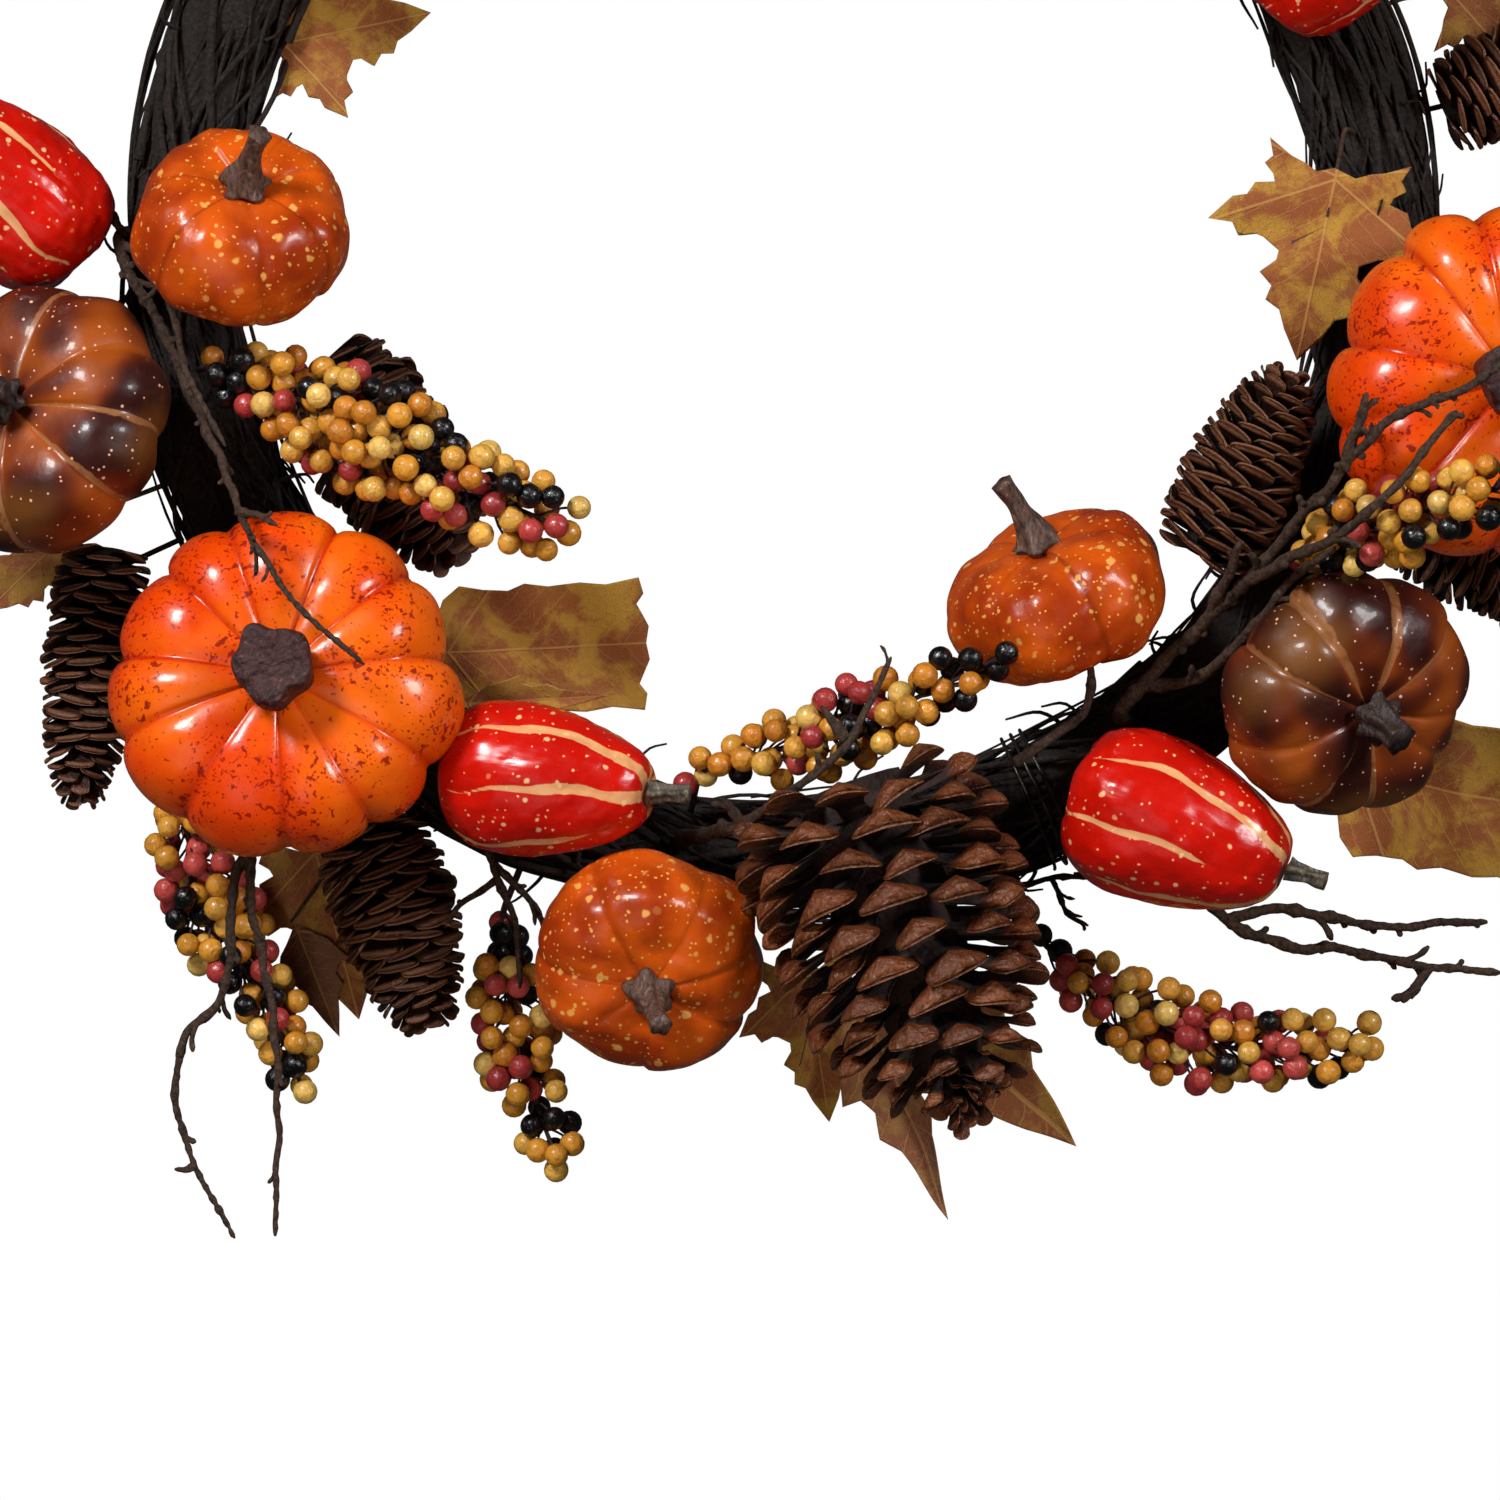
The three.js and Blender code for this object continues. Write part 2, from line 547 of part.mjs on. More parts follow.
// Twigs, from the thick end: points along the stem, then the side shoots.
const TWIGS = [
  {
    name: 'left', thick: 2.2, thin: 0.9,
    points: [
      [271, 203, 54], [262.6, 190.5, 60], [252.5, 182, 78],
      [240.8, 181, 109], [232.5, 180, 122], [224, 177, 121],
    ],
    shoots: [[0.55, [238, 168, 119]]],
  },
  {
    name: 'lower_left', thick: 2.2, thin: 1,
    points: [
      [221.5, 246, 44], [219.5, 266, 44], [217, 286, 42], [217.2, 303, 42], [214.6, 326, 40], [209, 347, 38],
    ],
    shoots: [[0.05, [218.5, 262, 46], [215.4, 273, 46], [210.7, 302, 44], [207.2, 340, 42]]],
  },
  {
    name: 'inner_bottom', thick: 2.6, thin: 0.9,
    points: [[189, 182, 48], [184, 176, 76], [178, 164, 102], [171.5, 148, 104], [165, 129, 98]],
    shoots: [[0.6, [177, 144, 100]]],
  },
  {
    name: 'right', thick: 2.6, thin: 1.1,
    points: [
      [143, 175, 48], [133.7, 172, 60], [123, 174.6, 84], [111.5, 182.6, 106],
      [107.2, 187.5, 114], [102.7, 207, 124], [98.7, 222, 126],
    ],
    shoots: [[0.33, [115.8, 191, 121], [104.8, 206, 129]], [0.24, [123, 165, 90]]],
  },
  {
    name: 'lower_right', thick: 2.4, thin: 1,
    points: [[145.8, 248, 24], [143.5, 265, 22], [140.8, 277, 20], [138, 295, 20], [134.6, 316, 20]],
    shoots: [[0.05, [142.4, 258, 26], [139.6, 270, 24], [137, 283, 22], [133, 302, 22]]],
  },
];
for (const { name, points, shoots, thick, thin } of TWIGS) {
  const ends = shoots.map(([t, ...through]) => [t, ...through.map(onWreath)]);
  const places = points.map(onWreath);
  const branch = joined([twig(places, thick, thin, ends), tieWire(places[0], places[1])]);
  const mesh = piece(`twig_${name}`, branch, 'twig');
  seated(mesh);
  wreath.add(mesh);
}

export default root;
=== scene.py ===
"""The looks of a harvest door wreath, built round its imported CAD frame. Metres, +Z up, front facing -Y."""

import json
import math

import bpy
import numpy as np
from mathutils import Matrix, Vector


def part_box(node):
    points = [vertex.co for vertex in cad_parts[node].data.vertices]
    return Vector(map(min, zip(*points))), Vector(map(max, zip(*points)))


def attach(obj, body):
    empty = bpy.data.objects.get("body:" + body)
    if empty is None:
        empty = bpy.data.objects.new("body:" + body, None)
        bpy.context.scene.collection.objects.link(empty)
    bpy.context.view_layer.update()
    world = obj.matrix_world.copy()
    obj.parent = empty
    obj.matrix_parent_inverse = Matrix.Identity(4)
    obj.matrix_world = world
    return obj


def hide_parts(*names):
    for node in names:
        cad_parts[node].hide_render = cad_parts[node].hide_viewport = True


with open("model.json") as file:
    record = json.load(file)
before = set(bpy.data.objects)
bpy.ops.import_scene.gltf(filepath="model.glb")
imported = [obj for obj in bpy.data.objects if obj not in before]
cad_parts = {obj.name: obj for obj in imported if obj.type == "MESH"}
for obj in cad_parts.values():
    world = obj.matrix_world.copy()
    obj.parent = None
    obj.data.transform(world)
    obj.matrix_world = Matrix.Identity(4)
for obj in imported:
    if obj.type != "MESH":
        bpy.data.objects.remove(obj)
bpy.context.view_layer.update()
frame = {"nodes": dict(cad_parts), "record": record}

MM = 0.001
UP = Vector((0, 0, 1))
TURN = 2 * math.pi
GOLDEN_ANGLE = math.radians(137.508)

# The wreath's own circle, read from the frame
hoop_low, hoop_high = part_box("wire_hoop")
ring_low, ring_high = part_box("vine_ring")
HOOP_DEPTH = 6 * MM
HOOP_WIRE = (hoop_high.y - hoop_low.y) / 2
CENTRE = (hoop_low + hoop_high) / 2
DOOR_Y = CENTRE.y + HOOP_DEPTH
RING_RADIUS = (hoop_high.x - hoop_low.x) / 2 - HOOP_WIRE
BUNDLE_HALF_WIDTH = (ring_high.x - ring_low.x) / 2 - RING_RADIUS
BUNDLE_HALF_DEPTH = (ring_high.y - ring_low.y) / 2
BUNDLE_Y = (ring_low.y + ring_high.y) / 2


def on_wreath(clock, radius, depth):
    """A place on the wreath: degrees clockwise from its top, and millimetres from its centre and the door."""
    a = math.radians(clock)
    return Vector((radius * MM * math.sin(a), DOOR_Y - depth * MM, CENTRE.z + radius * MM * math.cos(a)))


# --- camera, light and floor --------------------------------------------------------------------

CAMERA_DISTANCE = 1.9
FRAME_WIDTH = 0.4575  # what the picture spans at the depth of the pumpkins' middles
SENSOR = 36.0
AIM = Vector((CENTRE.x - 0.009, -0.06, CENTRE.z - 0.1525))


def make_camera():
    data = bpy.data.cameras.new("camera")
    data.sensor_width = SENSOR
    data.lens = SENSOR * CAMERA_DISTANCE / FRAME_WIDTH
    camera = bpy.data.objects.new("camera", data)
    camera.location = AIM - Vector((0, CAMERA_DISTANCE, 0))
    camera.rotation_euler = (math.pi / 2, 0, 0)
    bpy.context.scene.collection.objects.link(camera)
    bpy.context.scene.camera = camera


def make_softbox(name, place, size, power, seen=True):
    """A square soft light. One that isn't seen lights surfaces without showing in their gloss."""
    data = bpy.data.lights.new(name, "AREA")
    data.shape = "SQUARE"
    data.size = size
    data.energy = power
    light = bpy.data.objects.new(name, data)
    light.location = CENTRE + Vector(place)
    light.rotation_euler = (-Vector(place)).to_track_quat("-Z", "Y").to_euler()
    light.visible_glossy = seen
    bpy.context.scene.collection.objects.link(light)


def make_studio():
    make_softbox("key", (-0.9, -1.3, 0.9), 0.4, 30)
    make_softbox("fill", (1.2, -1.2, 0.5), 0.4, 17)
    make_softbox("low", (-0.5, -1.5, -0.7), 0.8, 8, seen=False)
    make_softbox("back", (0.3, 1.5, 0.5), 1.0, 13, seen=False)
    world = bpy.data.worlds.new("studio")
    world.use_nodes = True
    tree = world.node_tree
    rays = tree.nodes.new("ShaderNodeLightPath")
    strength = tree.nodes.new("ShaderNodeMapRange")
    strength.inputs["To Min"].default_value = 0.04
    strength.inputs["To Max"].default_value = 1.0
    tree.links.new(rays.outputs["Is Camera Ray"], strength.inputs["Value"])
    tree.links.new(strength.outputs[0], tree.nodes["Background"].inputs["Strength"])
    tree.nodes["Background"].inputs["Color"].default_value = (1, 1, 1, 1)
    bpy.context.scene.world = world
    bpy.context.scene.view_settings.view_transform = "Standard"


# --- materials ----------------------------------------------------------------------------------


def linear(code):
    """A linear colour from an sRGB code such as "#c04a12"."""
    values = [int(code[i : i + 2], 16) / 255 for i in (1, 3, 5)]
    return tuple(v / 12.92 if v <= 0.04045 else ((v + 0.055) / 1.055) ** 2.4 for v in values) + (1.0,)


class Look:
    """A material under construction. Its patterns and sums are output sockets, which finish wires up."""

    def __init__(self, name, **sockets):
        self.material = bpy.data.materials.new(name)
        self.material.use_nodes = True
        self.tree = self.material.node_tree
        self.shader = self.tree.nodes["Principled BSDF"]
        for socket, value in sockets.items():
            self.shader.inputs[socket.replace("_", " ").title().replace("Ior", "IOR")].default_value = value
        self.place = self.add("ShaderNodeTexCoord").outputs["Object"]

    def add(self, kind, **settings):
        node = self.tree.nodes.new(kind)
        for key, value in settings.items():
            setattr(node, key, value)
        return node

    def feed(self, socket, value):
        if isinstance(value, bpy.types.NodeSocket):
            self.tree.links.new(value, socket)
        elif isinstance(value, str):
            socket.default_value = linear(value)
        else:
            socket.default_value = value

    def mark(self, name, colour=False):
        node = self.add("ShaderNodeAttribute", attribute_name=name)
        return node.outputs["Color" if colour else "Fac"]

    def maths(self, operation, a, b=0.0):
        node = self.add("ShaderNodeMath", operation=operation)
        for socket, value in zip(node.inputs, (a, b)):
            self.feed(socket, value)
        return node.outputs[0]

    def times(self, a, b):
        return self.maths("MULTIPLY", a, b)

    def plus(self, a, b):
        return self.maths("ADD", a, b)

    def less(self, a, b):
        return self.maths("SUBTRACT", a, b)

    def most(self, a, b):
        return self.maths("MAXIMUM", a, b)

    def noise(self, size, detail=3.0, rough=0.5, place=None, warp=0.0):
        """Noise whose features are about size metres across, from 0 to 1."""
        node = self.add("ShaderNodeTexNoise")
        self.feed(node.inputs["Vector"], place or self.place)
        self.feed(node.inputs["Scale"], 1 / size)
        self.feed(node.inputs["Detail"], detail)
        self.feed(node.inputs["Roughness"], rough)
        self.feed(node.inputs["Distortion"], warp)
        return node.outputs["Fac"]

    def cells(self, size, feature="F1", place=None, output="Distance"):
        node = self.add("ShaderNodeTexVoronoi", feature=feature)
        self.feed(node.inputs["Vector"], place or self.place)
        self.feed(node.inputs["Scale"], 1 / size)
        return node.outputs[output]

    def warped(self, size, amount):
        """The object's coordinates pushed about by noise."""
        node = self.add("ShaderNodeTexNoise")
        self.feed(node.inputs["Vector"], self.place)
        self.feed(node.inputs["Scale"], 1 / size)
        push = self.add("ShaderNodeVectorMath", operation="MULTIPLY_ADD")
        self.feed(push.inputs[0], node.outputs["Color"])
        self.feed(push.inputs[1], (amount, amount, amount))
        self.feed(push.inputs[2], self.place)
        return push.outputs[0]

    def stretched(self, x, y, z):
        node = self.add("ShaderNodeVectorMath", operation="MULTIPLY")
        self.feed(node.inputs[0], self.place)
        self.feed(node.inputs[1], (x, y, z))
        return node.outputs[0]

    def step(self, value, start, end, low=0.0, high=1.0):
        """Turns smoothly from low to high as value passes from start to end."""
        node = self.add("ShaderNodeMapRange", interpolation_type="SMOOTHSTEP")
        self.feed(node.inputs["Value"], value)
        for key, limit in zip(("From Min", "From Max", "To Min", "To Max"), (start, end, low, high)):
            self.feed(node.inputs[key], limit)
        return node.outputs[0]

    def dots(self, size, reach, share, place=None):
        """Round flecks, one to a cell in a share of the cells, each reaching out from its cell's centre."""
        distance = self.cells(size, place=place)
        chance = self.add("ShaderNodeSeparateColor")
        self.feed(chance.inputs[0], self.cells(size, place=place, output="Color"))
        here = self.step(chance.outputs[0], share, share - 0.12)
        dot = self.step(distance, reach, reach * 0.6)
        return self.times(dot, here)

    def mix(self, amount, a, b, blend="MIX"):
        node = self.add("ShaderNodeMix", data_type="RGBA", blend_type=blend)
        self.feed(node.inputs[0], amount)
        self.feed(node.inputs[6], a)
        self.feed(node.inputs[7], b)
        return node.outputs[2]

    def finish(self, colour, roughness=None, height=None, depth=0.001):
        self.feed(self.shader.inputs["Base Color"], colour)
        if roughness is not None:
            self.feed(self.shader.inputs["Roughness"], roughness)
        if height is not None:
            bump = self.add("ShaderNodeBump")
            self.feed(bump.inputs["Height"], height)
            self.feed(bump.inputs["Distance"], depth)
            self.feed(self.shader.inputs["Normal"], bump.outputs[0])
        return self.material


def painted(look, colour, gloss_size, gloss, grain, lump_size, lump_height, depth):
    """Brushed enamel: its gloss varies in patches, over a fine grain and wide shallow lumps."""
    rough = look.step(look.noise(gloss_size), 0.3, 0.7, *gloss)
    height = look.plus(grain, look.times(look.noise(lump_size, detail=1), lump_height))
    return look.finish(colour, rough, height, depth)


def orange_paint():
    look = Look("orange_paint", coat_weight=0.25, coat_roughness=0.12, specular_ior_level=0.3)
    colour = look.mix(look.step(look.noise(0.035), 0.35, 0.65), "#f0660a", "#de3e02")
    colour = look.mix(look.step(look.mark("seam"), 0.45, 1.0), colour, "#bf2a02")
    crowd = look.step(look.noise(0.02, detail=1), 0.4, 0.62, 0.0, 0.08)
    coarse = look.plus(look.noise(0.0028, detail=2, warp=0.6), crowd)
    fine = look.plus(look.noise(0.0011, detail=1), crowd)
    specks = look.most(look.step(coarse, 0.665, 0.71), look.step(fine, 0.69, 0.75))
    colour = look.mix(look.times(specks, 0.9), colour, "#861203")
    return painted(look, colour, 0.006, (0.22, 0.34), look.noise(0.004), 0.02, 9.0, 0.00014)


def rust_paint():
    look = Look("rust_paint", coat_weight=0.25, coat_roughness=0.14, specular_ior_level=0.3)
    colour = look.mix(look.step(look.noise(0.025, warp=0.4), 0.35, 0.68), "#d4560c", "#9a3006")
    colour = look.mix(look.step(look.mark("seam"), 0.6, 1.0, 0, 0.55), colour, "#6f2005")
    place = look.warped(0.003, 0.0022)
    flecks = look.most(look.dots(0.0068, 0.25, 0.6, place), look.dots(0.0036, 0.24, 0.6, place))
    flecks = look.most(flecks, look.dots(0.0019, 0.24, 0.5))
    colour = look.mix(look.times(flecks, 0.85), colour, "#e9a955")
    return painted(look, colour, 0.005, (0.22, 0.36), look.noise(0.003), 0.014, 7.0, 0.00018)


def brown_paint():
    look = Look("brown_paint", coat_weight=0.22, coat_roughness=0.12, specular_ior_level=0.3)
    lobe = look.times(look.mark("tint"), 0.1)
    cloud = look.noise(0.045, detail=2, warp=0.4)
    crest = look.times(look.less(1.0, look.mark("seam")), 0.1)
    dark = look.plus(cloud, look.plus(crest, lobe))
    colour = look.mix(look.step(dark, 0.42, 0.62), "#a04c12", "#6c280c")
    colour = look.mix(look.step(dark, 0.52, 0.68), colour, "#320f0a")
    golden = look.step(look.noise(0.05, detail=1), 0.52, 0.72, 0, 0.5)
    colour = look.mix(golden, colour, "#9c6024")
    ragged = look.times(look.noise(0.01, detail=3, rough=0.6), 0.6)
    stripe = look.step(look.plus(look.mark("seam"), ragged), 0.78, 0.86)
    stripe = look.times(stripe, look.step(look.mark("tint"), 0.55, 0.6))
    worn = look.step(look.noise(0.004, detail=4), 0.36, 0.5, 0.35, 0.7)
    colour = look.mix(look.times(stripe, worn), colour, "#a0683e")
    flecks = look.most(look.dots(0.005, 0.13, 0.75), look.dots(0.0024, 0.18, 0.45))
    colour = look.mix(flecks, colour, "#e5ac90")
    return painted(look, colour, 0.006, (0.36, 0.48), look.noise(0.004), 0.018, 6.0, 0.0002)


def red_paint():
    look = Look("red_paint", coat_weight=0.3, coat_roughness=0.12, specular_ior_level=0.3)
    colour = look.mix(look.noise(0.018), "#dc1605", "#a00a03")
    streak = look.noise(0.003, place=look.stretched(1, 1, 0.2))
    edge = look.plus(look.mark("stripe"), look.times(look.less(streak, 0.5), 2.0))
    stripe = look.step(edge, 0.0, 0.3)
    colour = look.mix(look.times(stripe, 0.9), colour, look.mix(streak, "#c9733f", "#efc488"))
    place = look.warped(0.003, 0.0016)
    flecks = look.most(look.dots(0.0055, 0.2, 0.65, place), look.dots(0.0026, 0.22, 0.5, place))
    colour = look.mix(look.times(flecks, 0.85), colour, "#efbd84")
    return painted(look, colour, 0.005, (0.2, 0.34), streak, 0.012, 7.0, 0.00022)


def carved(name, dark, mid, light, grain):
    """Moulded, dry-brushed stems: dark in the hollows, rubbed paler on the ridges."""
    look = Look(name)
    fibre = look.noise(0.0014, detail=5, rough=0.65, place=look.stretched(1, 1, grain))
    blotch = look.noise(0.006)
    colour = look.mix(look.step(fibre, 0.35, 0.6), dark, mid)
    rubbed = look.times(look.step(fibre, 0.56, 0.7), look.step(blotch, 0.45, 0.6))
    colour = look.mix(rubbed, colour, light)
    return look.finish(colour, look.step(fibre, 0.3, 0.7, 0.65, 0.38), fibre, 0.0009)


def berry_skin():
    look = Look("berry_skin", coat_weight=0.2, coat_roughness=0.2)
    mottle = look.step(look.noise(0.0018, detail=4), 0.4, 0.7)
    colour = look.mix(look.times(mottle, 0.35), look.mark("paint", colour=True), "#a8641c", "MULTIPLY")
    pale = look.step(look.noise(0.0035), 0.55, 0.75)
    colour = look.mix(look.times(pale, 0.22), colour, "#ffd890", "SOFT_LIGHT")
    return look.finish(colour, look.step(mottle, 0, 1, 0.26, 0.42), mottle, 0.0002)


def cone_scale(name, shaft, face, rim, rim_start, gloss, face_start, lumps):
    """A scale's matt shaft, its glossier outer face from face_start on, and the worn rim of that face."""
    look = Look(name)
    along = look.mark("along")
    grain = look.noise(0.0016, detail=5, rough=0.65)
    on_face = look.step(along, face_start, face_start + 0.16)
    colour = look.mix(on_face, shaft, face)
    rubbed = look.plus(along, look.times(look.less(grain, 0.5), 0.4))
    colour = look.mix(look.step(rubbed, rim_start, rim_start + 0.16), colour, rim)
    colour = look.mix(look.times(look.mark("tint"), 0.5), colour, "#1a0d08")
    ragged = look.step(grain, 0.3, 0.7, -0.1, 0.12)
    rough = look.plus(look.step(on_face, 0, 1, 0.9, gloss), ragged)
    height = look.plus(grain, look.times(look.noise(0.0035, detail=2), lumps))
    return look.finish(colour, rough, height, 0.0008)


def leaf_cloth():
    look = Look("leaf_cloth", sheen_weight=0.15, roughness=0.85)
    across = look.maths("ABSOLUTE", look.mark("across"))
    along = look.mark("along")

    def vein(foot, direction):
        rise = look.times(look.less(along, foot), direction[0])
        return look.maths("ABSOLUTE", look.less(look.times(across, direction[1]), rise))

    main = look.maths("MINIMUM", across, vein(0.06, (0.868, 0.496)))
    main = look.maths("MINIMUM", main, vein(0.04, (0.967, -0.256)))
    slant = look.less(along, look.times(across, 0.85))
    slant = look.plus(slant, look.times(look.noise(0.012), 0.1))
    side = look.maths("SINE", look.times(slant, TURN * 8))
    net = look.cells(0.0024, feature="DISTANCE_TO_EDGE", place=look.warped(0.004, 0.0014))
    blotch = look.noise(0.02, detail=6, rough=0.65, warp=0.4)
    printed = look.less(look.step(blotch, 0.38, 0.62), look.times(main, 2.0))
    colour = look.mix(look.noise(0.03), "#b8862a", "#9c7220")
    colour = look.mix(look.step(printed, -0.15, 0.6), colour, "#8a481a")
    colour = look.mix(look.mark("worn"), colour, "#6b4030")
    lines = look.most(look.step(main, 0.011, 0.004), look.step(side, 0.965, 0.998, 0, 0.7))
    lines = look.most(lines, look.step(net, 0.06, 0.0, 0, 0.5))
    colour = look.mix(look.times(lines, 0.5), colour, "#c08f4a")
    weave = look.noise(0.0005, detail=1)
    height = look.plus(look.times(lines, 0.6), look.times(weave, 0.4))
    return look.finish(colour, look.step(weave, 0.3, 0.7, 0.75, 0.95), height, 0.0004)


def bark(name, dark, mid, light, size):
    look = Look(name)
    rough = look.noise(size, detail=6, rough=0.7)
    flakes = look.cells(size * 1.5, place=look.warped(size * 2, size))
    colour = look.mix(look.step(rough, 0.35, 0.6), dark, mid)
    lit = look.times(look.step(rough, 0.58, 0.72), look.step(flakes, 0.5, 0.2))
    colour = look.mix(lit, colour, light)
    colour = look.mix(look.times(look.mark("tint"), 0.5), colour, "#0d0806")
    height = look.plus(rough, look.times(flakes, 0.6))
    return look.finish(colour, look.step(rough, 0.3, 0.7, 0.95, 0.7), height, 0.0012)


def dull_wire():
    look = Look("dull_wire", metallic=0.9)
    tarnish = look.noise(0.004, detail=5)
    colour = look.mix(look.step(tarnish, 0.4, 0.65), "#4a4743", "#2c2724")
    return look.finish(colour, look.step(tarnish, 0.3, 0.7, 0.3, 0.5), look.noise(0.0008), 0.0001)


def pale_floor():
    """It glows a little, so that it stays pale under lights that are aimed at the wreath."""
    look = Look("pale_floor", roughness=0.8, emission_strength=0.75)
    return look.finish(look.mix(look.noise(0.4), "#f4f3f1", "#efeeec"))


ORANGE = orange_paint()
RUST = rust_paint()
BROWN = brown_paint()
RED = red_paint()
KNOB = carved("knob_stem", "#220e0d", "#46211e", "#7d4f48", 1.0)
STEM = carved("pumpkin_stem", "#33231d", "#64493c", "#9c8372", 0.3)
BROWN_STEM = carved("brown_pumpkin_stem", "#140c0a", "#35211a", "#6b5546", 0.3)
GOURD_STEM = carved("gourd_stem", "#2f2a24", "#5d5545", "#a3987d", 0.3)
BERRY = berry_skin()
SLIM_SCALE = cone_scale("slim_cone_scale", "#140906", "#391d13", "#76492f", 0.8, 0.42, 0.4, 0.0)
LARGE_SCALE = cone_scale("large_cone_scale", "#33201a", "#703a1f", "#8a5334", 0.9, 0.22, 0.7, 3.0)
LEAF = leaf_cloth()
TWIG = bark("twig_bark", "#2a1a12", "#4d3626", "#86705c", 0.0016)
VINE = bark("vine_bark", "#100906", "#281a12", "#5c4637", 0.0014)
SPRAY_WIRE = bark("spray_wire", "#2c1a1e", "#4a2f33", "#6d5152", 0.001)
WIRE = dull_wire()


# --- mesh helpers -------------------------------------------------------------------------------


class Soup:
    """Gathers the points, faces and per-point marks of one piece."""

    def __init__(self):
        self.points = []
        self.faces = []
        self.slots = []
        self.marks = {}
        self.count = 0

    def add(self, points, faces, slot=0, **marks):
        """Adds a shape. A mark is one value for the whole shape, or one for each point."""
        self.points.append(points)
        for block in faces:
            self.faces += (np.asarray(block) + self.count).tolist()
        self.slots += [slot] * (len(self.faces) - len(self.slots))
        for name, values in marks.items():
            values = np.asarray(values, float)
            whole = len(values) != len(points) if values.ndim else True
            self.marks.setdefault(name, []).append(np.tile(values, (len(points), 1)) if whole else values)
        self.count += len(points)

    def turn(self, rotation):
        self.points = [points @ np.array(rotation).T for points in self.points]

    def build(self, name, looks, body, nodes=(), place=Matrix()):
        mesh = bpy.data.meshes.new(name)
        mesh.from_pydata(np.concatenate(self.points).tolist(), [], self.faces)
        for mark, blocks in self.marks.items():
            colour = blocks[0].ndim == 2 and blocks[0].shape[1] == 4
            values = np.concatenate([block.reshape(len(block), -1) for block in blocks])
            layer = mesh.attributes.new(mark, "FLOAT_COLOR" if colour else "FLOAT", "POINT")
            layer.data.foreach_set("color" if colour else "value", values.ravel())
        mesh.polygons.foreach_set("use_smooth", [True] * len(mesh.polygons))
        mesh.polygons.foreach_set("material_index", self.slots)
        for look in looks:
            mesh.materials.append(look)
        piece = bpy.data.objects.new(name, mesh)
        bpy.context.scene.collection.objects.link(piece)
        piece.matrix_world = place
        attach(piece, body)
        if nodes:
            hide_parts(*nodes)
        return piece


def shape_piece(name, points, faces, look, body, slot, nodes=(), place=Matrix(), **marks):
    """A piece that is one shape in one material."""
    soup = Soup()
    soup.add(points, faces, **marks)
    return soup.build(name, [look], body, nodes, place)


def body_of(node):
    return next(b for b, nodes in frame["record"]["behaviour"]["bodies"].items() if node in nodes)


def points_of(node):
    return np.array([v.co for v in frame["nodes"][node].data.vertices])


def middle(node):
    low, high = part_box(node)
    return (low + high) / 2


def facing(at, axis, roll=0.0):
    """The place of a piece modelled about +Z: moved to at, and turned so that +Z lies along axis."""
    turn = UP.rotation_difference(Vector(axis)).to_matrix().to_4x4()
    return Matrix.Translation(at) @ turn @ Matrix.Rotation(roll, 4, "Z")


def grid_faces(rows, around):
    """Quads of rows rings of points, each ring closed, with a flat cap on both ends."""
    i = np.arange(rows - 1)[:, None] * around
    j = np.arange(around)[None, :]
    k = (j + 1) % around
    quads = np.stack([i + j, i + k, i + around + k, i + around + j], -1).reshape(-1, 4)
    low = np.arange(around)[::-1][None, :]
    high = np.arange(around)[None, :] + (rows - 1) * around
    return [quads, low, high]


def spline(points, steps):
    """A smooth route through points, with steps equal stretches of it."""
    p = np.array([tuple(v) for v in points], float)
    p = np.vstack([2 * p[0] - p[1], p, 2 * p[-1] - p[-2]])
    dense = []
    for a, b, c, d in zip(p, p[1:], p[2:], p[3:]):
        t = np.linspace(0, 1, 16, endpoint=False)[:, None]
        bend = (2 * a - 5 * b + 4 * c - d) * t**2 + (3 * b - 3 * c + d - a) * t**3
        dense.append(0.5 * (2 * b + (c - a) * t + bend))
    dense = np.vstack(dense + [p[-2:-1]])
    travel = np.r_[0, np.cumsum(np.linalg.norm(np.diff(dense, axis=0), axis=1))]
    at = np.linspace(0, travel[-1], steps + 1)
    return np.stack([np.interp(at, travel, dense[:, k]) for k in range(3)], 1)


def tube(route, radius, sides=8, swell=None):
    """Points and faces of a tube along route. radius is one per point; swell(t, angle) scales it."""
    route = np.asarray(route, float)
    radius = np.broadcast_to(np.asarray(radius, float), (len(route),))
    along = np.gradient(route, axis=0)
    along /= np.linalg.norm(along, axis=1)[:, None]
    side = np.cross(along[0], (0, 0, 1) if abs(along[0][2]) < 0.9 else (1, 0, 0))
    sides_of = []
    for direction in along:
        side = side - direction * side.dot(direction)
        side = side / np.linalg.norm(side)
        sides_of.append(side)
    sides_of = np.array(sides_of)
    others = np.cross(along, sides_of)
    angle = np.linspace(0, TURN, sides, endpoint=False)[None, :, None]
    reach = radius[:, None, None]
    if swell is not None:
        t = np.linspace(0, 1, len(route))[:, None, None]
        reach = reach * swell(t, angle)
    points = route[:, None] + reach * (np.cos(angle) * sides_of[:, None] + np.sin(angle) * others[:, None])
    return points.reshape(-1, 3), grid_faces(len(route), sides)


def ripple(points, size, seed):
    """Smooth noise from about -1 to 1 with features of about size, the same on every run."""
    rng = np.random.default_rng(seed)
    total = np.zeros(len(points))
    for _ in range(7):
        wave = rng.normal(size=3)
        wave *= TURN / size / np.linalg.norm(wave) * rng.uniform(0.6, 1.4)
        total += np.sin(points @ wave + rng.uniform(0, TURN))
    return total / 3.5


def principal(node, hint):
    """The long direction of a node, on the side of hint."""
    points = points_of(node)
    axis = Vector(np.linalg.svd(points - points.mean(0), full_matrices=False)[2][0])
    return axis if axis.dot(Vector(hint)) > 0 else -axis


# --- pumpkins and gourds ------------------------------------------------------------------------


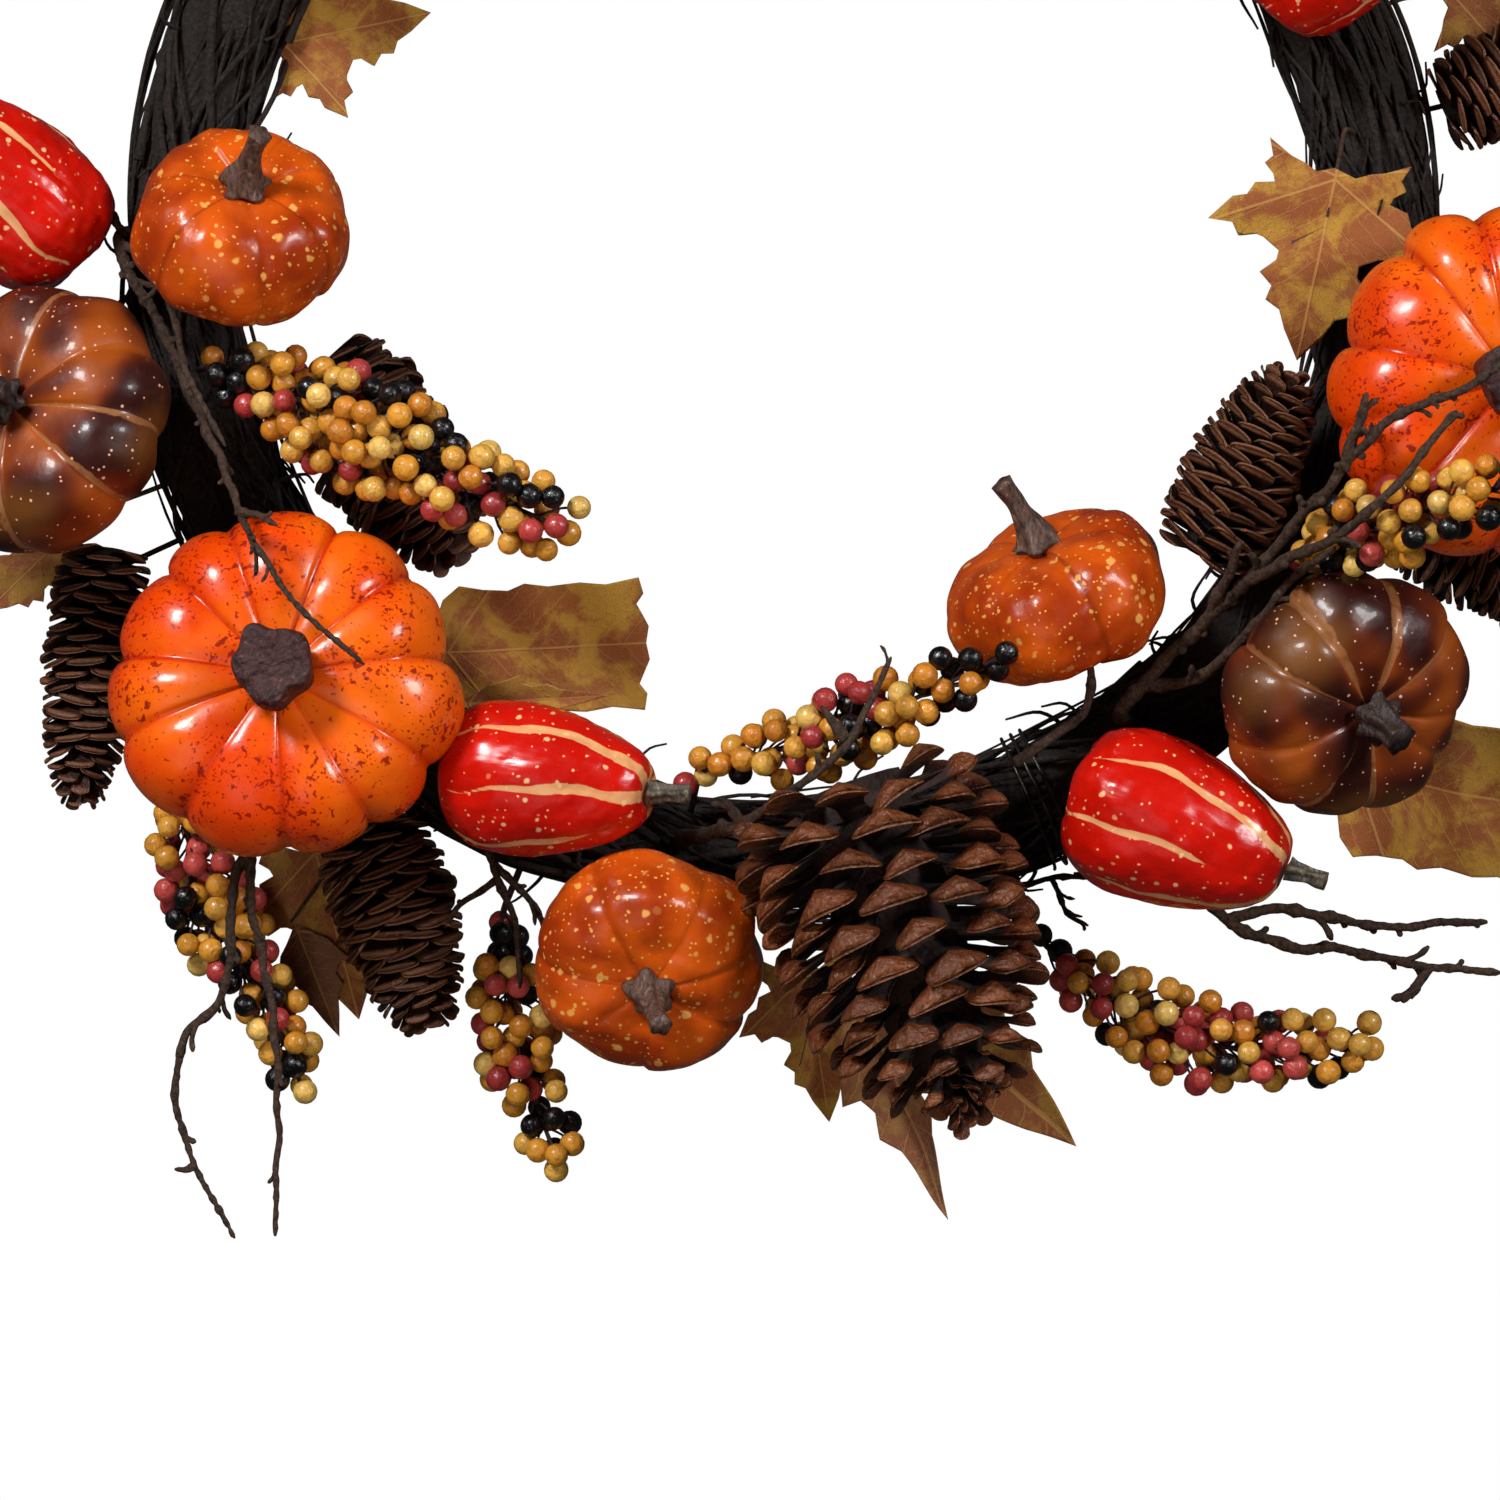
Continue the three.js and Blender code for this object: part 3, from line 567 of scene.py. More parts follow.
POLE = 0.03  # the angle left out at both ends of a fruit, in radians
STEM_SUNK = 3 * MM  # how far a stem runs on into its fruit
KNOB_RADIUS = 11.6 * MM


def lobed(around, lobes, rng, uneven):
    """For each angle round a pumpkin: how far it is from a lobe's crest (1 at a seam), and its lobe."""
    edges = (np.arange(lobes + 1) + np.r_[0, rng.uniform(-uneven, uneven, lobes - 1), 0]) / lobes
    t = np.arange(around) / around
    lobe = np.searchsorted(edges, t, side="right") - 1
    phase = (t - edges[lobe]) / (edges[lobe + 1] - edges[lobe])
    return 1 - np.sin(math.pi * phase) ** 0.55, lobe


def pumpkin_body(radius, height, lobes, groove, dimple, dents, seed):
    """A ribbed pumpkin about +Z with its stem end up."""
    rng = np.random.default_rng(seed)
    around = lobes * 18
    rows = 60
    seam, lobe = lobed(around, lobes, rng, 0.16)
    size = rng.uniform(0.955, 1.02, lobes)[lobe]
    lift = rng.uniform(0.95, 1.04, lobes)[lobe]
    u = np.linspace(POLE, math.pi - POLE, rows)[:, None]
    angle = TURN * np.arange(around)[None, :] / around
    out = np.sin(u)
    pinch = 1 - groove * seam * (0.7 + 0.6 * (1 - out))
    reach = radius * out**0.78 * pinch * size
    drawn_in = 1 - dimple * (1 - out) ** 1.4 - 0.9 * groove * seam * np.abs(np.cos(u)) * out**0.4
    rise = height / 2 * np.cos(u) * drawn_in * lift
    points = np.stack([reach * np.cos(angle), reach * np.sin(angle), rise + 0 * angle], -1).reshape(-1, 3)
    normal = points / np.linalg.norm(points, axis=1)[:, None]
    swelling = dents * ripple(points, radius * 0.75, seed)
    swelling += 0.35 * dents * ripple(points, radius * 0.3, seed + 1)
    points = points + normal * (radius * swelling)[:, None]
    seams = np.broadcast_to(seam, (rows, around)).ravel()
    tints = np.broadcast_to(rng.uniform(0, 1, lobes)[lobe], (rows, around)).ravel()
    return points, flip(grid_faces(rows, around)), seams, tints


def flip(faces):
    return [np.asarray(block)[:, ::-1] for block in faces]


def stem_axis(name):
    """The middle of a fruit's body, and the direction from there to the foot of its stem."""
    centre = middle(f"{name}_body")
    stem = points_of(f"{name}_stem")
    nearest = np.argsort(np.linalg.norm(stem - np.array(centre), axis=1))[: max(7, len(stem) // 4)]
    return centre, (Vector(stem[nearest].mean(0)) - centre).normalized()


def extent(node, centre, axis):
    """How far a node reaches along axis on both sides of centre, and how far from that line."""
    flat = points_of(node) - np.array(centre)
    along = flat @ np.array(axis)
    return along.min(), along.max(), np.linalg.norm(flat - along[:, None] * np.array(axis), axis=1).max()


def make_pumpkin(name, look, slot, lobes, groove, dimple, dents, seed):
    node = f"{name}_body"
    centre, axis = stem_axis(name)
    _, top, radius = extent(node, centre, axis)
    points, faces, seam, tint = pumpkin_body(radius, 2.13 * top, lobes, groove, dimple, dents, seed)
    place = facing(centre, axis, seed)
    marks = dict(seam=seam, tint=tint)
    shape_piece(f"{name}_shell", points, faces, look, body_of(node), slot, [node], place, **marks)
    return centre, axis


def stem_ends(node, centre, axis):
    """The middle of a stem's foot, and the middle of its cut end."""
    points = points_of(node)
    along = (points - np.array(centre)) @ np.array(axis)
    low, high = np.quantile(along, [0.02, 0.98])
    foot = points[along < low + 0.1 * (high - low)].mean(0)
    return foot, points[np.argsort(np.linalg.norm(points - foot, axis=1))[-7:]].mean(0)


def make_knob(name, centre, axis, seed):
    """The flat five-sided stem knob of a large pumpkin."""
    node = f"{name}_stem"
    foot, tip = stem_ends(node, centre, axis)
    length = np.linalg.norm(tip - foot) + STEM_SUNK
    rows = 24
    t = np.linspace(0, 1, rows)
    profile = np.interp(t, (0, 0.5, 0.62, 0.7, 1), (1.0, 1.02, 0.94, 0.8, 0.04))
    rise = np.interp(t, (0, 0.5, 0.62, 0.7, 1), (0, 0.86, 0.97, 1.0, 0.9))
    angle = np.linspace(0, TURN, 64, endpoint=False)
    corner = 1 + 0.065 * np.cos(5 * angle + seed) + 0.05 * np.cos(3 * angle + 2 * seed)
    ring = np.stack([np.cos(angle) * corner, np.sin(angle) * corner, 0 * angle], -1)
    points = profile[:, None, None] * ring[None] * KNOB_RADIUS
    crease = 0.7 * MM * np.cos(7 * angle + 1.5 * np.sin(seed + 2 * angle)) * ((t > 0.6) * profile)[:, None]
    points[..., 2] = (rise * length)[:, None] - STEM_SUNK + crease
    points = points.reshape(-1, 3)
    points = points + 0.45 * MM * ripple(points, 7 * MM, seed)[:, None]
    points[:, 2] += 0.4 * MM * ripple(points, 3 * MM, seed + 3)
    faces = grid_faces(rows, len(angle))
    place = facing(Vector(foot), axis, seed)
    shape_piece(f"{name}_knob", points, faces, KNOB, body_of(node), "knob_stem", [node], place)


def make_stem(name, centre, axis, look, slot, waist, foot_size, end_size, ribs, bend, reach, seed):
    """A ribbed stem, wider at its foot and its cut end, whose sizes are shares of the waist's radius."""
    node = f"{name}_stem"
    foot, tip = stem_ends(node, centre, axis)
    tip = foot + (tip - foot) * reach
    out = np.array(axis)
    arch = out * np.linalg.norm(tip - foot) * bend
    route = spline([foot - out * STEM_SUNK, foot, (foot + tip) / 2 + arch, tip], 26)

    def swell(t, angle):
        ribbed = 1 + 0.15 * np.cos(ribs * angle + 2 * t + seed) * (1.2 - 0.5 * t)
        ribbed = ribbed + 0.05 * np.cos(2 * angle + seed)
        return ribbed * (1 + (foot_size - 1) * np.clip(1 - t / 0.75, 0, 1) ** 2.2 + (end_size - 1) * t**4)

    points, faces = tube(route, waist, 40, swell)
    points = points + 0.08 * waist * ripple(points, 0.006, seed)[:, None] * np.array([1, 0.7, 0.8])
    shape_piece(f"{name}_handle", points, faces, look, body_of(node), slot, [node])


def gourd_body(radius, length, seed):
    """A pear-shaped gourd about +Z, neck up, and how many millimetres inside a stripe each point is."""
    rng = np.random.default_rng(seed)
    rows, around, stripes = 90, 168, 7
    u = np.linspace(POLE, math.pi - POLE, rows)[:, None]
    angle = TURN * np.arange(around)[None, :] / around
    out = np.sin(u)
    neck = 1 - 0.42 * ((1 + np.cos(u)) / 2) ** 1.15
    wander = 0.016 * np.sin(2.3 * u + rng.uniform(0, TURN)) + 0.004 * np.sin(8 * u + 2 * angle)
    turns = (angle / TURN + wander) * stripes
    off = np.abs(turns % 1 - 0.5) * 2
    facets = 1 - 0.045 * (1 - off) ** 2 * out
    reach = radius * out**0.66 * neck * facets * 1.1
    rise = length / 2 * np.cos(u) * (1 - 0.1 * (1 - out) ** 3) + 0 * angle
    points = np.stack([reach * np.cos(angle), reach * np.sin(angle), rise], -1).reshape(-1, 3)
    swelling = 0.02 * ripple(points, radius * 0.7, seed) + 0.006 * ripple(points, radius * 0.2, seed)
    points = points * (1 + swelling[:, None])
    number = np.floor(turns).astype(int) % stripes
    begin = np.where(rng.random(stripes) < 0.75, -0.2, rng.uniform(0.3, 0.45, stripes))[number]
    end = rng.uniform(0.72, 1.05, stripes)[number]
    t = u / math.pi
    taper = np.clip((t - begin) * 9, 0, 1) * np.clip((end - t) * 3, 0, 1) * (1.3 - 0.75 * t)
    half = rng.uniform(1.0, 1.8, stripes)[number] * (taper - 0.02)
    stripe = half - off / 2 / stripes * TURN * reach / MM
    return points, flip(grid_faces(rows, around)), np.clip(stripe, -3, 3).ravel()


def make_gourd(name, seed):
    node = f"{name}_body"
    centre, axis = stem_axis(name)
    low, high, radius = extent(node, centre, axis)
    points, faces, stripe = gourd_body(radius, high - low, seed)
    place = facing(centre, axis, seed)
    shape_piece(f"{name}_shell", points, faces, RED, body_of(node), "red_paint", [node], place, stripe=stripe)
    make_stem(name, centre, axis, GOURD_STEM, "gourd_stem", 2.5 * MM, 1.4, 1.1, 5, 0, 0.75, seed)


# --- pine cones ---------------------------------------------------------------------------------


def plate(stations, columns, profile, arch):
    """A scale along +X from the core, a unit long and a unit wide, whose back faces the cone's tip at +Z.

    Each station is its place along the scale, its half width, and the height of the ridge on its outer face.
    With arch over 0 its sides bend towards the cone's tip.
    """
    s, half, ridge = (np.array(row)[:, None] for row in zip(*stations))
    t = np.linspace(-1, 1, columns)[None, :]
    x = s - 0.06 * np.abs(t) ** 2.2 * s**3
    y = half * t
    cup = 0.04 * s**2 + arch * half * t**2 * s
    back = np.stack([x, y, cup + 0.02 + 0 * t], -1).reshape(-1, 3)
    face = np.stack([x, y, cup - 0.02 - ridge * profile(t)], -1).reshape(-1, 3)
    along = np.broadcast_to(s, (len(stations), columns)).ravel()
    index = np.arange(len(stations) * columns).reshape(len(stations), columns)
    quads = np.stack([index[:-1, :-1], index[1:, :-1], index[1:, 1:], index[:-1, 1:]], -1).reshape(-1, 4)
    rim = np.r_[index[0, :], index[1:, -1], index[-1, -2::-1], index[-2:0:-1, 0]]
    wall = np.stack([rim, np.roll(rim, -1), np.roll(rim, -1) + index.size, rim + index.size], -1)
    return np.vstack([back, face]), [quads, quads[:, ::-1] + index.size, wall[:, ::-1]], np.r_[along, along]


def thin_scale():
    """A slim cone's papery scale, thickened along its blunt end."""
    stations = [
        (0.0, 0.24, 0.01), (0.3, 0.36, 0.01), (0.6, 0.46, 0.02), (0.8, 0.5, 0.04), (0.9, 0.5, 0.1),
        (0.97, 0.48, 0.09), (1.0, 0.42, 0.03),
    ]
    return plate(stations, 9, lambda t: 1 - 0.7 * t**2, -0.05)


def thick_scale():
    """A large cone's scale: a strap that ends in a thick rounded face with a wide, nearly straight lip."""
    stations = [
        (0.0, 0.2, 0.07), (0.3, 0.26, 0.07), (0.58, 0.32, 0.08), (0.72, 0.38, 0.12), (0.79, 0.45, 0.27),
        (0.85, 0.5, 0.31), (0.92, 0.52, 0.27), (0.97, 0.5, 0.17), (1.0, 0.45, 0.04),
    ]
    return plate(stations, 11, lambda t: (1 - np.abs(t) ** 1.3) ** 0.9 + 0.08 * (t == 0), 0.1)


SCALE_FOOT = 0.16  # how far out a scale is rooted, as a share of the cone's radius
CORE_SHARE = 0.42  # the core's radius as a share of the cone's
CONE_WIRE = 0.9 * MM


def cone_envelope(t, tip_share):
    """How wide a cone is, as a share of its radius, from its butt at 0 to its tip at 1."""
    return np.sin(math.pi * np.clip(0.22 + 0.78 * t, 0, 1)) ** 0.62 * (1 - tip_share) + tip_share


def add_scale(soup, template, at, turn, lean, roll, size, tint):
    """Places one scale. at is how far its foot is from the axis and along it; lean is from the axis."""
    points, faces, along = template
    place = Matrix.Rotation(turn, 4, "Z") @ Matrix.Translation((at[0], 0, at[1]))
    place = place @ Matrix.Rotation(lean - math.pi / 2, 4, "Y") @ Matrix.Rotation(roll, 4, "X")
    m = np.array(place @ Matrix.Diagonal((*size, 1)))
    soup.add(points @ m[:3, :3].T + m[:3, 3], faces, along=along, tint=tint)


def cone_size(name, hint, spread):
    """A cone's middle, its axis from butt to tip, its length and its radius."""
    centre = middle(name)
    axis = principal(name, hint)
    low, high, _ = extent(name, centre, axis)
    off = points_of(name) - np.array(centre)
    off -= (off @ np.array(axis))[:, None] * np.array(axis)
    return centre, axis, high - low, spread * np.quantile(np.linalg.norm(off, axis=1), 0.97)


def add_scales(soup, kind, length, radius, rng):
    """A golden-angle spiral of scales from butt to tip."""
    template = kind["scale"]()
    core = SCALE_FOOT * radius
    for i in range(kind["count"]):
        t = (i + 0.5) / kind["count"]
        envelope = radius * cone_envelope(t**0.9, kind["blunt"]) * rng.uniform(0.93, 1.05)
        upright = np.interp(t, (0, 0.15, 0.6, 0.88, 1), kind["lean"])
        lean = math.radians(upright + rng.uniform(-1, 1) * kind["jitter"])
        size = max(envelope - core, 0.22 * radius) / max(math.sin(lean), 0.5)
        taper = np.interp(t, (0, 0.2, 0.75, 1), (0.75, 1, 0.85, 0.35))
        width = kind["width"] * radius * taper * rng.uniform(0.88, 1.1)
        foot = length * (t - 0.5) - size * math.cos(lean) * 0.75
        turn = i * GOLDEN_ANGLE + rng.uniform(-0.08, 0.08)
        size = (size, width, kind["thick"] * width)
        roll = math.radians(rng.uniform(-2, 2) * kind["jitter"])
        add_scale(soup, template, (core * 0.6, foot), turn, lean, roll, size, rng.uniform(0, 1))


def add_frayed(soup, count, length, radius, rng):
    """Small torn scales round the tip."""
    frayed = thin_scale()
    for _ in range(count):
        lean = rng.uniform(0.2, 1.5)
        size = rng.uniform(0.14, 0.36) * radius
        at = (0.02 * radius, length * rng.uniform(0.38, 0.5))
        wide = size * rng.uniform(0.2, 0.5)
        turn, roll = rng.uniform(0, TURN), rng.uniform(-1.2, 1.2)
        add_scale(soup, frayed, at, turn, lean, roll, (size, wide, 2 * wide), 0.3)


def add_core(soup, kind, length, radius, place):
    """The core under the scales, and a wire from the butt to the ring."""
    core_route = [(0, 0, length * (s - 0.5)) for s in np.linspace(0.0, 0.93, 12)]
    core_radius = CORE_SHARE * radius * cone_envelope(np.linspace(0, 1, 12), kind["blunt"])
    points, faces = tube(core_route, core_radius, 14)
    soup.add(points, faces, along=0.0, tint=0.8)
    butt = place @ Vector((0, 0, -0.4 * length))
    wire = [place.inverted() @ p for p in (butt, (butt + tie_to_ring(butt)) / 2, tie_to_ring(butt))]
    points, faces = tube(spline(wire, 12), CONE_WIRE, 7)
    soup.add(points, faces, along=0.0, tint=0.8)


def make_cone(name, hint, kind, seed):
    centre, axis, length, radius = cone_size(name, hint, kind["spread"])
    rng = np.random.default_rng(seed)
    place = facing(centre, axis, seed)
    soup = Soup()
    add_scales(soup, kind, length, radius, rng)
    add_frayed(soup, kind["frayed"], length, radius, rng)
    add_core(soup, kind, length, radius, place)
    soup.turn(place.to_3x3())
    place = Matrix.Translation(centre)
    soup.build(f"{name}_scales", [kind["look"]], body_of(name), [name], place)


SLIM_CONE = dict(
    look=SLIM_SCALE, scale=thin_scale, count=140, frayed=0, lean=(90, 68, 60, 50, 20), jitter=7,
    width=0.74, thick=1.0, spread=0.96, blunt=0.34,
)
LARGE_CONE = dict(
    look=LARGE_SCALE, scale=thick_scale, count=104, frayed=90, lean=(110, 84, 68, 62, 48), jitter=8,
    width=0.44, thick=0.84, spread=1.0, blunt=0.48,
)


# --- berry sprays -------------------------------------------------------------------------------

MUSTARD = ("#d89a3a", "#d08e2c", "#e0aa48", "#c67c22", "#e4ba60", "#d89430")
CORAL = ("#b03a38", "#c04a44", "#9c3030")
BLACK = ("#060507", "#0a080a")
BERRY_RADIUS = 3.9 * MM
BERRY_STALK = 0.42 * MM
BERRY_GAP = 1.78 * BERRY_RADIUS  # no two berries' middles are nearer than this
BERRY_NEXT_TO = 2.6 * BERRY_RADIUS  # a berry this near another may take its colour
BERRY_CROWD = 1.6  # berries for each square of a berry's radius in the spray's outline
SPRAY_SPREAD = 1.1  # the berries' reach as a share of the node's radius
SPRAY_STEPS = 60
BERRY_TRIES = 4000
NO_PAINT = linear("#000000")  # stems carry the berries' paint mark but don't show it


def ball():
    rings, around = 10, 16
    u = np.linspace(0.06, math.pi - 0.06, rings)[:, None]
    a = TURN * np.arange(around)[None, :] / around
    points = np.stack([np.sin(u) * np.cos(a), np.sin(u) * np.sin(a), np.cos(u) + 0 * a], -1).reshape(-1, 3)
    return points, flip(grid_faces(rings, around))


TIE_SHARE = 0.8  # how far out in the bundle the wires end, as a share of the way to its surface


def off_ring(point):
    """How far a point is from the middle line of the vine ring."""
    return math.hypot(math.hypot(point[0] - CENTRE.x, point[2] - CENTRE.z) - RING_RADIUS, point[1] - BUNDLE_Y)


def tie_to_ring(point):
    """Where a wire from this point is tied into the vine bundle."""
    point = Vector(point)
    out = Vector((point.x - CENTRE.x, 0, point.z - CENTRE.z)).normalized()
    heart = Vector((CENTRE.x, BUNDLE_Y, CENTRE.z)) + out * RING_RADIUS
    away = point - heart
    reach = math.hypot(away.dot(out) / BUNDLE_HALF_WIDTH, away.y / BUNDLE_HALF_DEPTH)
    return heart + away * min(1, TIE_SHARE / reach)


def spine_of(node):
    """The middle line of a tube-like node and its radius along it, from the end nearer the vine ring."""
    points = points_of(node)
    axis = np.linalg.svd(points - points.mean(0), full_matrices=False)[2][0]
    along = points @ axis
    low, high = along.min(), along.max()
    route, radius = [], []
    for station in np.linspace(low + 0.04 * (high - low), high - 0.04 * (high - low), 9):
        weight = np.exp(-(((along - station) / (high - low) * 14) ** 2))
        point = (points * weight[:, None]).sum(0) / weight.sum()
        off = points - point
        off -= (off @ axis)[:, None] * axis
        route.append(point)
        radius.append((np.linalg.norm(off, axis=1) * weight).sum() / weight.sum())
    order = 1 if off_ring(route[0]) < off_ring(route[-1]) else -1
    return np.array(route)[::order], np.array(radius)[::order]


def paint_of(rng, near):
    """A berry's colour code. Dark and coral ones tend to come in twos and threes."""
    if near is not None and near not in MUSTARD and rng.random() < 0.42:
        return near
    chance = rng.random()
    kind = BLACK if chance < 0.17 else CORAL if chance < 0.3 else MUSTARD
    return kind[rng.integers(len(kind))]


def berry_spots(rng, route, radius):
    """Random places round a stem: the stem's point, the place, the way out to it and how far that is."""
    bare = int(np.argmax(radius > 1.2 * BERRY_RADIUS))
    directions = np.gradient(route, axis=0)
    directions /= np.linalg.norm(directions, axis=1)[:, None]
    at = rng.integers(bare, SPRAY_STEPS + 1, BERRY_TRIES)
    out = rng.normal(size=(BERRY_TRIES, 3))
    out -= directions[at] * (out * directions[at]).sum(1)[:, None]
    out /= np.linalg.norm(out, axis=1)[:, None]
    reach = np.maximum(radius[at] * rng.uniform(0.25, 1.06, BERRY_TRIES) - BERRY_RADIUS * 0.5, 0)
    return zip(at, route[at] + out * reach[:, None], out, reach)


def add_berry(soup, rng, spot, code):
    turn = np.linalg.qr(rng.normal(size=(3, 3)))[0]
    turn *= np.sign(np.linalg.det(turn))
    size = BERRY_RADIUS * rng.uniform(0.92, 1.04)
    shade = rng.uniform(0.85, 1.1)
    paint = np.array(linear(code)) * (shade, shade, shade, 1)
    points, faces = ball()
    soup.add(points @ turn.T * size + spot, faces, 0, paint=paint, tint=0.0)


def add_stalk(soup, start, spot, bow):
    stalk = spline([start, (start + spot) / 2 + bow, spot], 5)
    points, faces = tube(stalk, BERRY_STALK, 5)
    soup.add(points, faces, 1, paint=NO_PAINT, tint=0.2)


def make_spray(node, seed):
    """Berries on short stalks, crowded round a wired stem that is tied into the ring."""
    rng = np.random.default_rng(seed)
    route, radius = spine_of(node)
    fine = spline(route, SPRAY_STEPS)
    share = np.linspace(0, 1, SPRAY_STEPS + 1)
    radius = SPRAY_SPREAD * np.interp(share, np.linspace(0, 1, len(radius)), radius)
    length = np.linalg.norm(np.diff(fine, axis=0), axis=1).sum()
    wanted = int(BERRY_CROWD * length * radius.mean() / BERRY_RADIUS**2)
    soup = Soup()
    stem = np.vstack([tie_to_ring(fine[0]), fine[1:]])
    points, faces = tube(stem, np.linspace(1.1, 0.6, SPRAY_STEPS + 1) * MM, 8)
    soup.add(points, faces, 1, paint=NO_PAINT, tint=0.3)
    placed, codes = np.zeros((0, 3)), []
    for k, spot, away, far in berry_spots(rng, fine, radius):
        gaps = np.linalg.norm(placed - spot, axis=1)
        if len(codes) == wanted:
            break
        if len(gaps) and gaps.min() < BERRY_GAP:
            continue
        near = codes[gaps.argmin()] if len(gaps) and gaps.min() < BERRY_NEXT_TO else None
        placed = np.vstack([placed, spot])
        codes.append(paint_of(rng, near))
        add_stalk(soup, fine[max(k - 5, 0)], spot, away * far * 0.15)
    for spot, code in zip(placed, codes):
        add_berry(soup, rng, spot, code)
    soup.build(f"{node}_berries", [BERRY, SPRAY_WIRE], body_of(node), [node])


# --- leaves -------------------------------------------------------------------------------------

# One side of a leaf's edge, from its foot to its tip, as shares of its length
MAPLE = [
    (0.012, 0.0), (0.10, 0.035), (0.17, 0.0), (0.24, -0.02), (0.37, -0.085), (0.335, 0.0), (0.37, 0.045),
    (0.315, 0.09), (0.30, 0.13), (0.40, 0.155), (0.43, 0.225), (0.50, 0.25), (0.60, 0.385), (0.475, 0.38),
    (0.43, 0.44), (0.385, 0.405), (0.30, 0.42), (0.21, 0.47), (0.215, 0.56), (0.285, 0.60), (0.21, 0.655),
    (0.225, 0.73), (0.145, 0.765), (0.10, 0.86), (0.0, 1.0),
]
BLUNT = [
    (0.012, 0.0), (0.16, 0.0), (0.32, 0.05), (0.4, 0.13), (0.37, 0.24), (0.36, 0.36), (0.4, 0.44),
    (0.375, 0.55), (0.39, 0.7), (0.37, 0.82), (0.4, 0.97), (0.3, 0.985), (0.24, 0.95), (0.1, 1.0),
    (0.0, 0.985),
]
NARROW = [
    (0.012, 0.0), (0.05, 0.06), (0.1, 0.13), (0.16, 0.2), (0.21, 0.33), (0.25, 0.42), (0.17, 0.43),
    (0.13, 0.5), (0.15, 0.6), (0.09, 0.68), (0.055, 0.82), (0.0, 1.0),
]
LEAF_HEART = (0.0, 0.3)
CLOTH_THICKNESS = 0.35 * MM


def leaf_sheet(outline, length, spread, fold, curl, seed):
    """A cut leaf growing along +Z, facing -Y: points, faces, their places in the flat cut, and its area."""
    rng = np.random.default_rng(seed)
    right = np.array(outline)
    edge = np.vstack([right, right[-2:0:-1] * (-1, 1)])
    edge[:, 0] *= spread
    closed = np.vstack([edge, edge[:1]])
    travel = np.r_[0, np.cumsum(np.linalg.norm(np.diff(closed, axis=0), axis=1))]
    at = np.unique(np.r_[travel[:-1], np.linspace(0, travel[-1], 150, endpoint=False)])
    edge = np.stack([np.interp(at, travel, closed[:, k]) for k in range(2)], 1)
    rings = 26
    heart = np.array(LEAF_HEART)
    flat = (heart + np.linspace(0.03, 1, rings)[:, None, None] * (edge - heart)).reshape(-1, 2)
    across, along = flat[:, 0], flat[:, 1]
    y = -fold * np.abs(across) + curl * (along**2 - 0.5 * across**2)
    y = y + 0.02 * np.sin(9 * across + 5 * along + rng.uniform(0, 6)) * (0.3 + np.abs(across) * 2)
    y = y + 0.012 * np.sin(17 * along - 8 * across + rng.uniform(0, 6))
    crossed = edge[:, 0] * np.roll(edge[:, 1], -1) - np.roll(edge[:, 0], -1) * edge[:, 1]
    area = abs(crossed.sum()) / 2 * length**2
    return np.c_[across, y, along] * length, grid_faces(rings, len(edge))[:2], across / spread, along, area


def make_leaf(
    name, foot, direction, length, node, seed, outline=MAPLE, stalk=12, spread=1.0, turn=0.0, fold=0.15,
    curl=0.05, worn=0.0,
):
    """A leaf on its wire stalk. worn is how far its print has gone, from 0 to 1."""
    reach = length * MM
    points, faces, across, along, area = leaf_sheet(outline, reach, spread, fold, curl, seed)
    points = points + (0, 0, stalk * MM)
    place = facing(on_wreath(*foot), direction, math.radians(turn))
    carried = [node] if node else []
    marks = dict(across=across, along=along, worn=worn)
    leaf = shape_piece(name, points, faces, LEAF, "wreath", "leaf_fabric", carried, place, **marks)
    thicken = leaf.modifiers.new("cloth", "SOLIDIFY")
    thicken.thickness = CLOTH_THICKNESS
    thicken.offset = 0
    tie = place.inverted() @ tie_to_ring(place.translation)
    route = [(0, 0.5, 0), (0, 1.2, stalk * 0.5), (0, 0.5, stalk + 0.25 * length)]
    route = np.vstack([tie, np.array(route) * MM])
    points, faces = tube(spline(route, 24), np.linspace(0.9, 0.4, 25) * MM, 7)
    shape_piece(f"{name}_stalk", points, faces, TWIG, "wreath", "leaf_fabric", (), place, tint=0.1)


# --- twigs and vines ----------------------------------------------------------------------------


STUBS = 75  # side stubs on a metre of twig
KNOT_GAP = 13 * MM


def across_to(rng, direction):
    """A random direction at right angles to this one."""
    out = rng.normal(size=3)
    out -= direction * out.dot(direction)
    return out / np.linalg.norm(out)


def add_stub(soup, start, direction, radius, rng, seed):
    direction /= np.linalg.norm(direction)
    out = across_to(rng, direction)
    reach = rng.choice([3.0, 4.5, 7.0], p=[0.5, 0.3, 0.2]) * MM
    end = start + (out + direction * 0.9) * reach
    stub = spline([start, (start + end) / 2 + direction * reach * 0.15, end], 7)
    shape = np.array([1.1, 0.85, 0.75, 0.7, 0.72, 0.85, 0.8, 0.4])
    bud, bud_faces = tube(stub, max(radius * rng.uniform(0.7, 0.95), 0.6 * MM) * shape, 8)
    bud = bud + ripple(bud, 0.002, seed)[:, None] * 0.1 * MM
    soup.add(bud, bud_faces, tint=rng.uniform(0, 0.5))


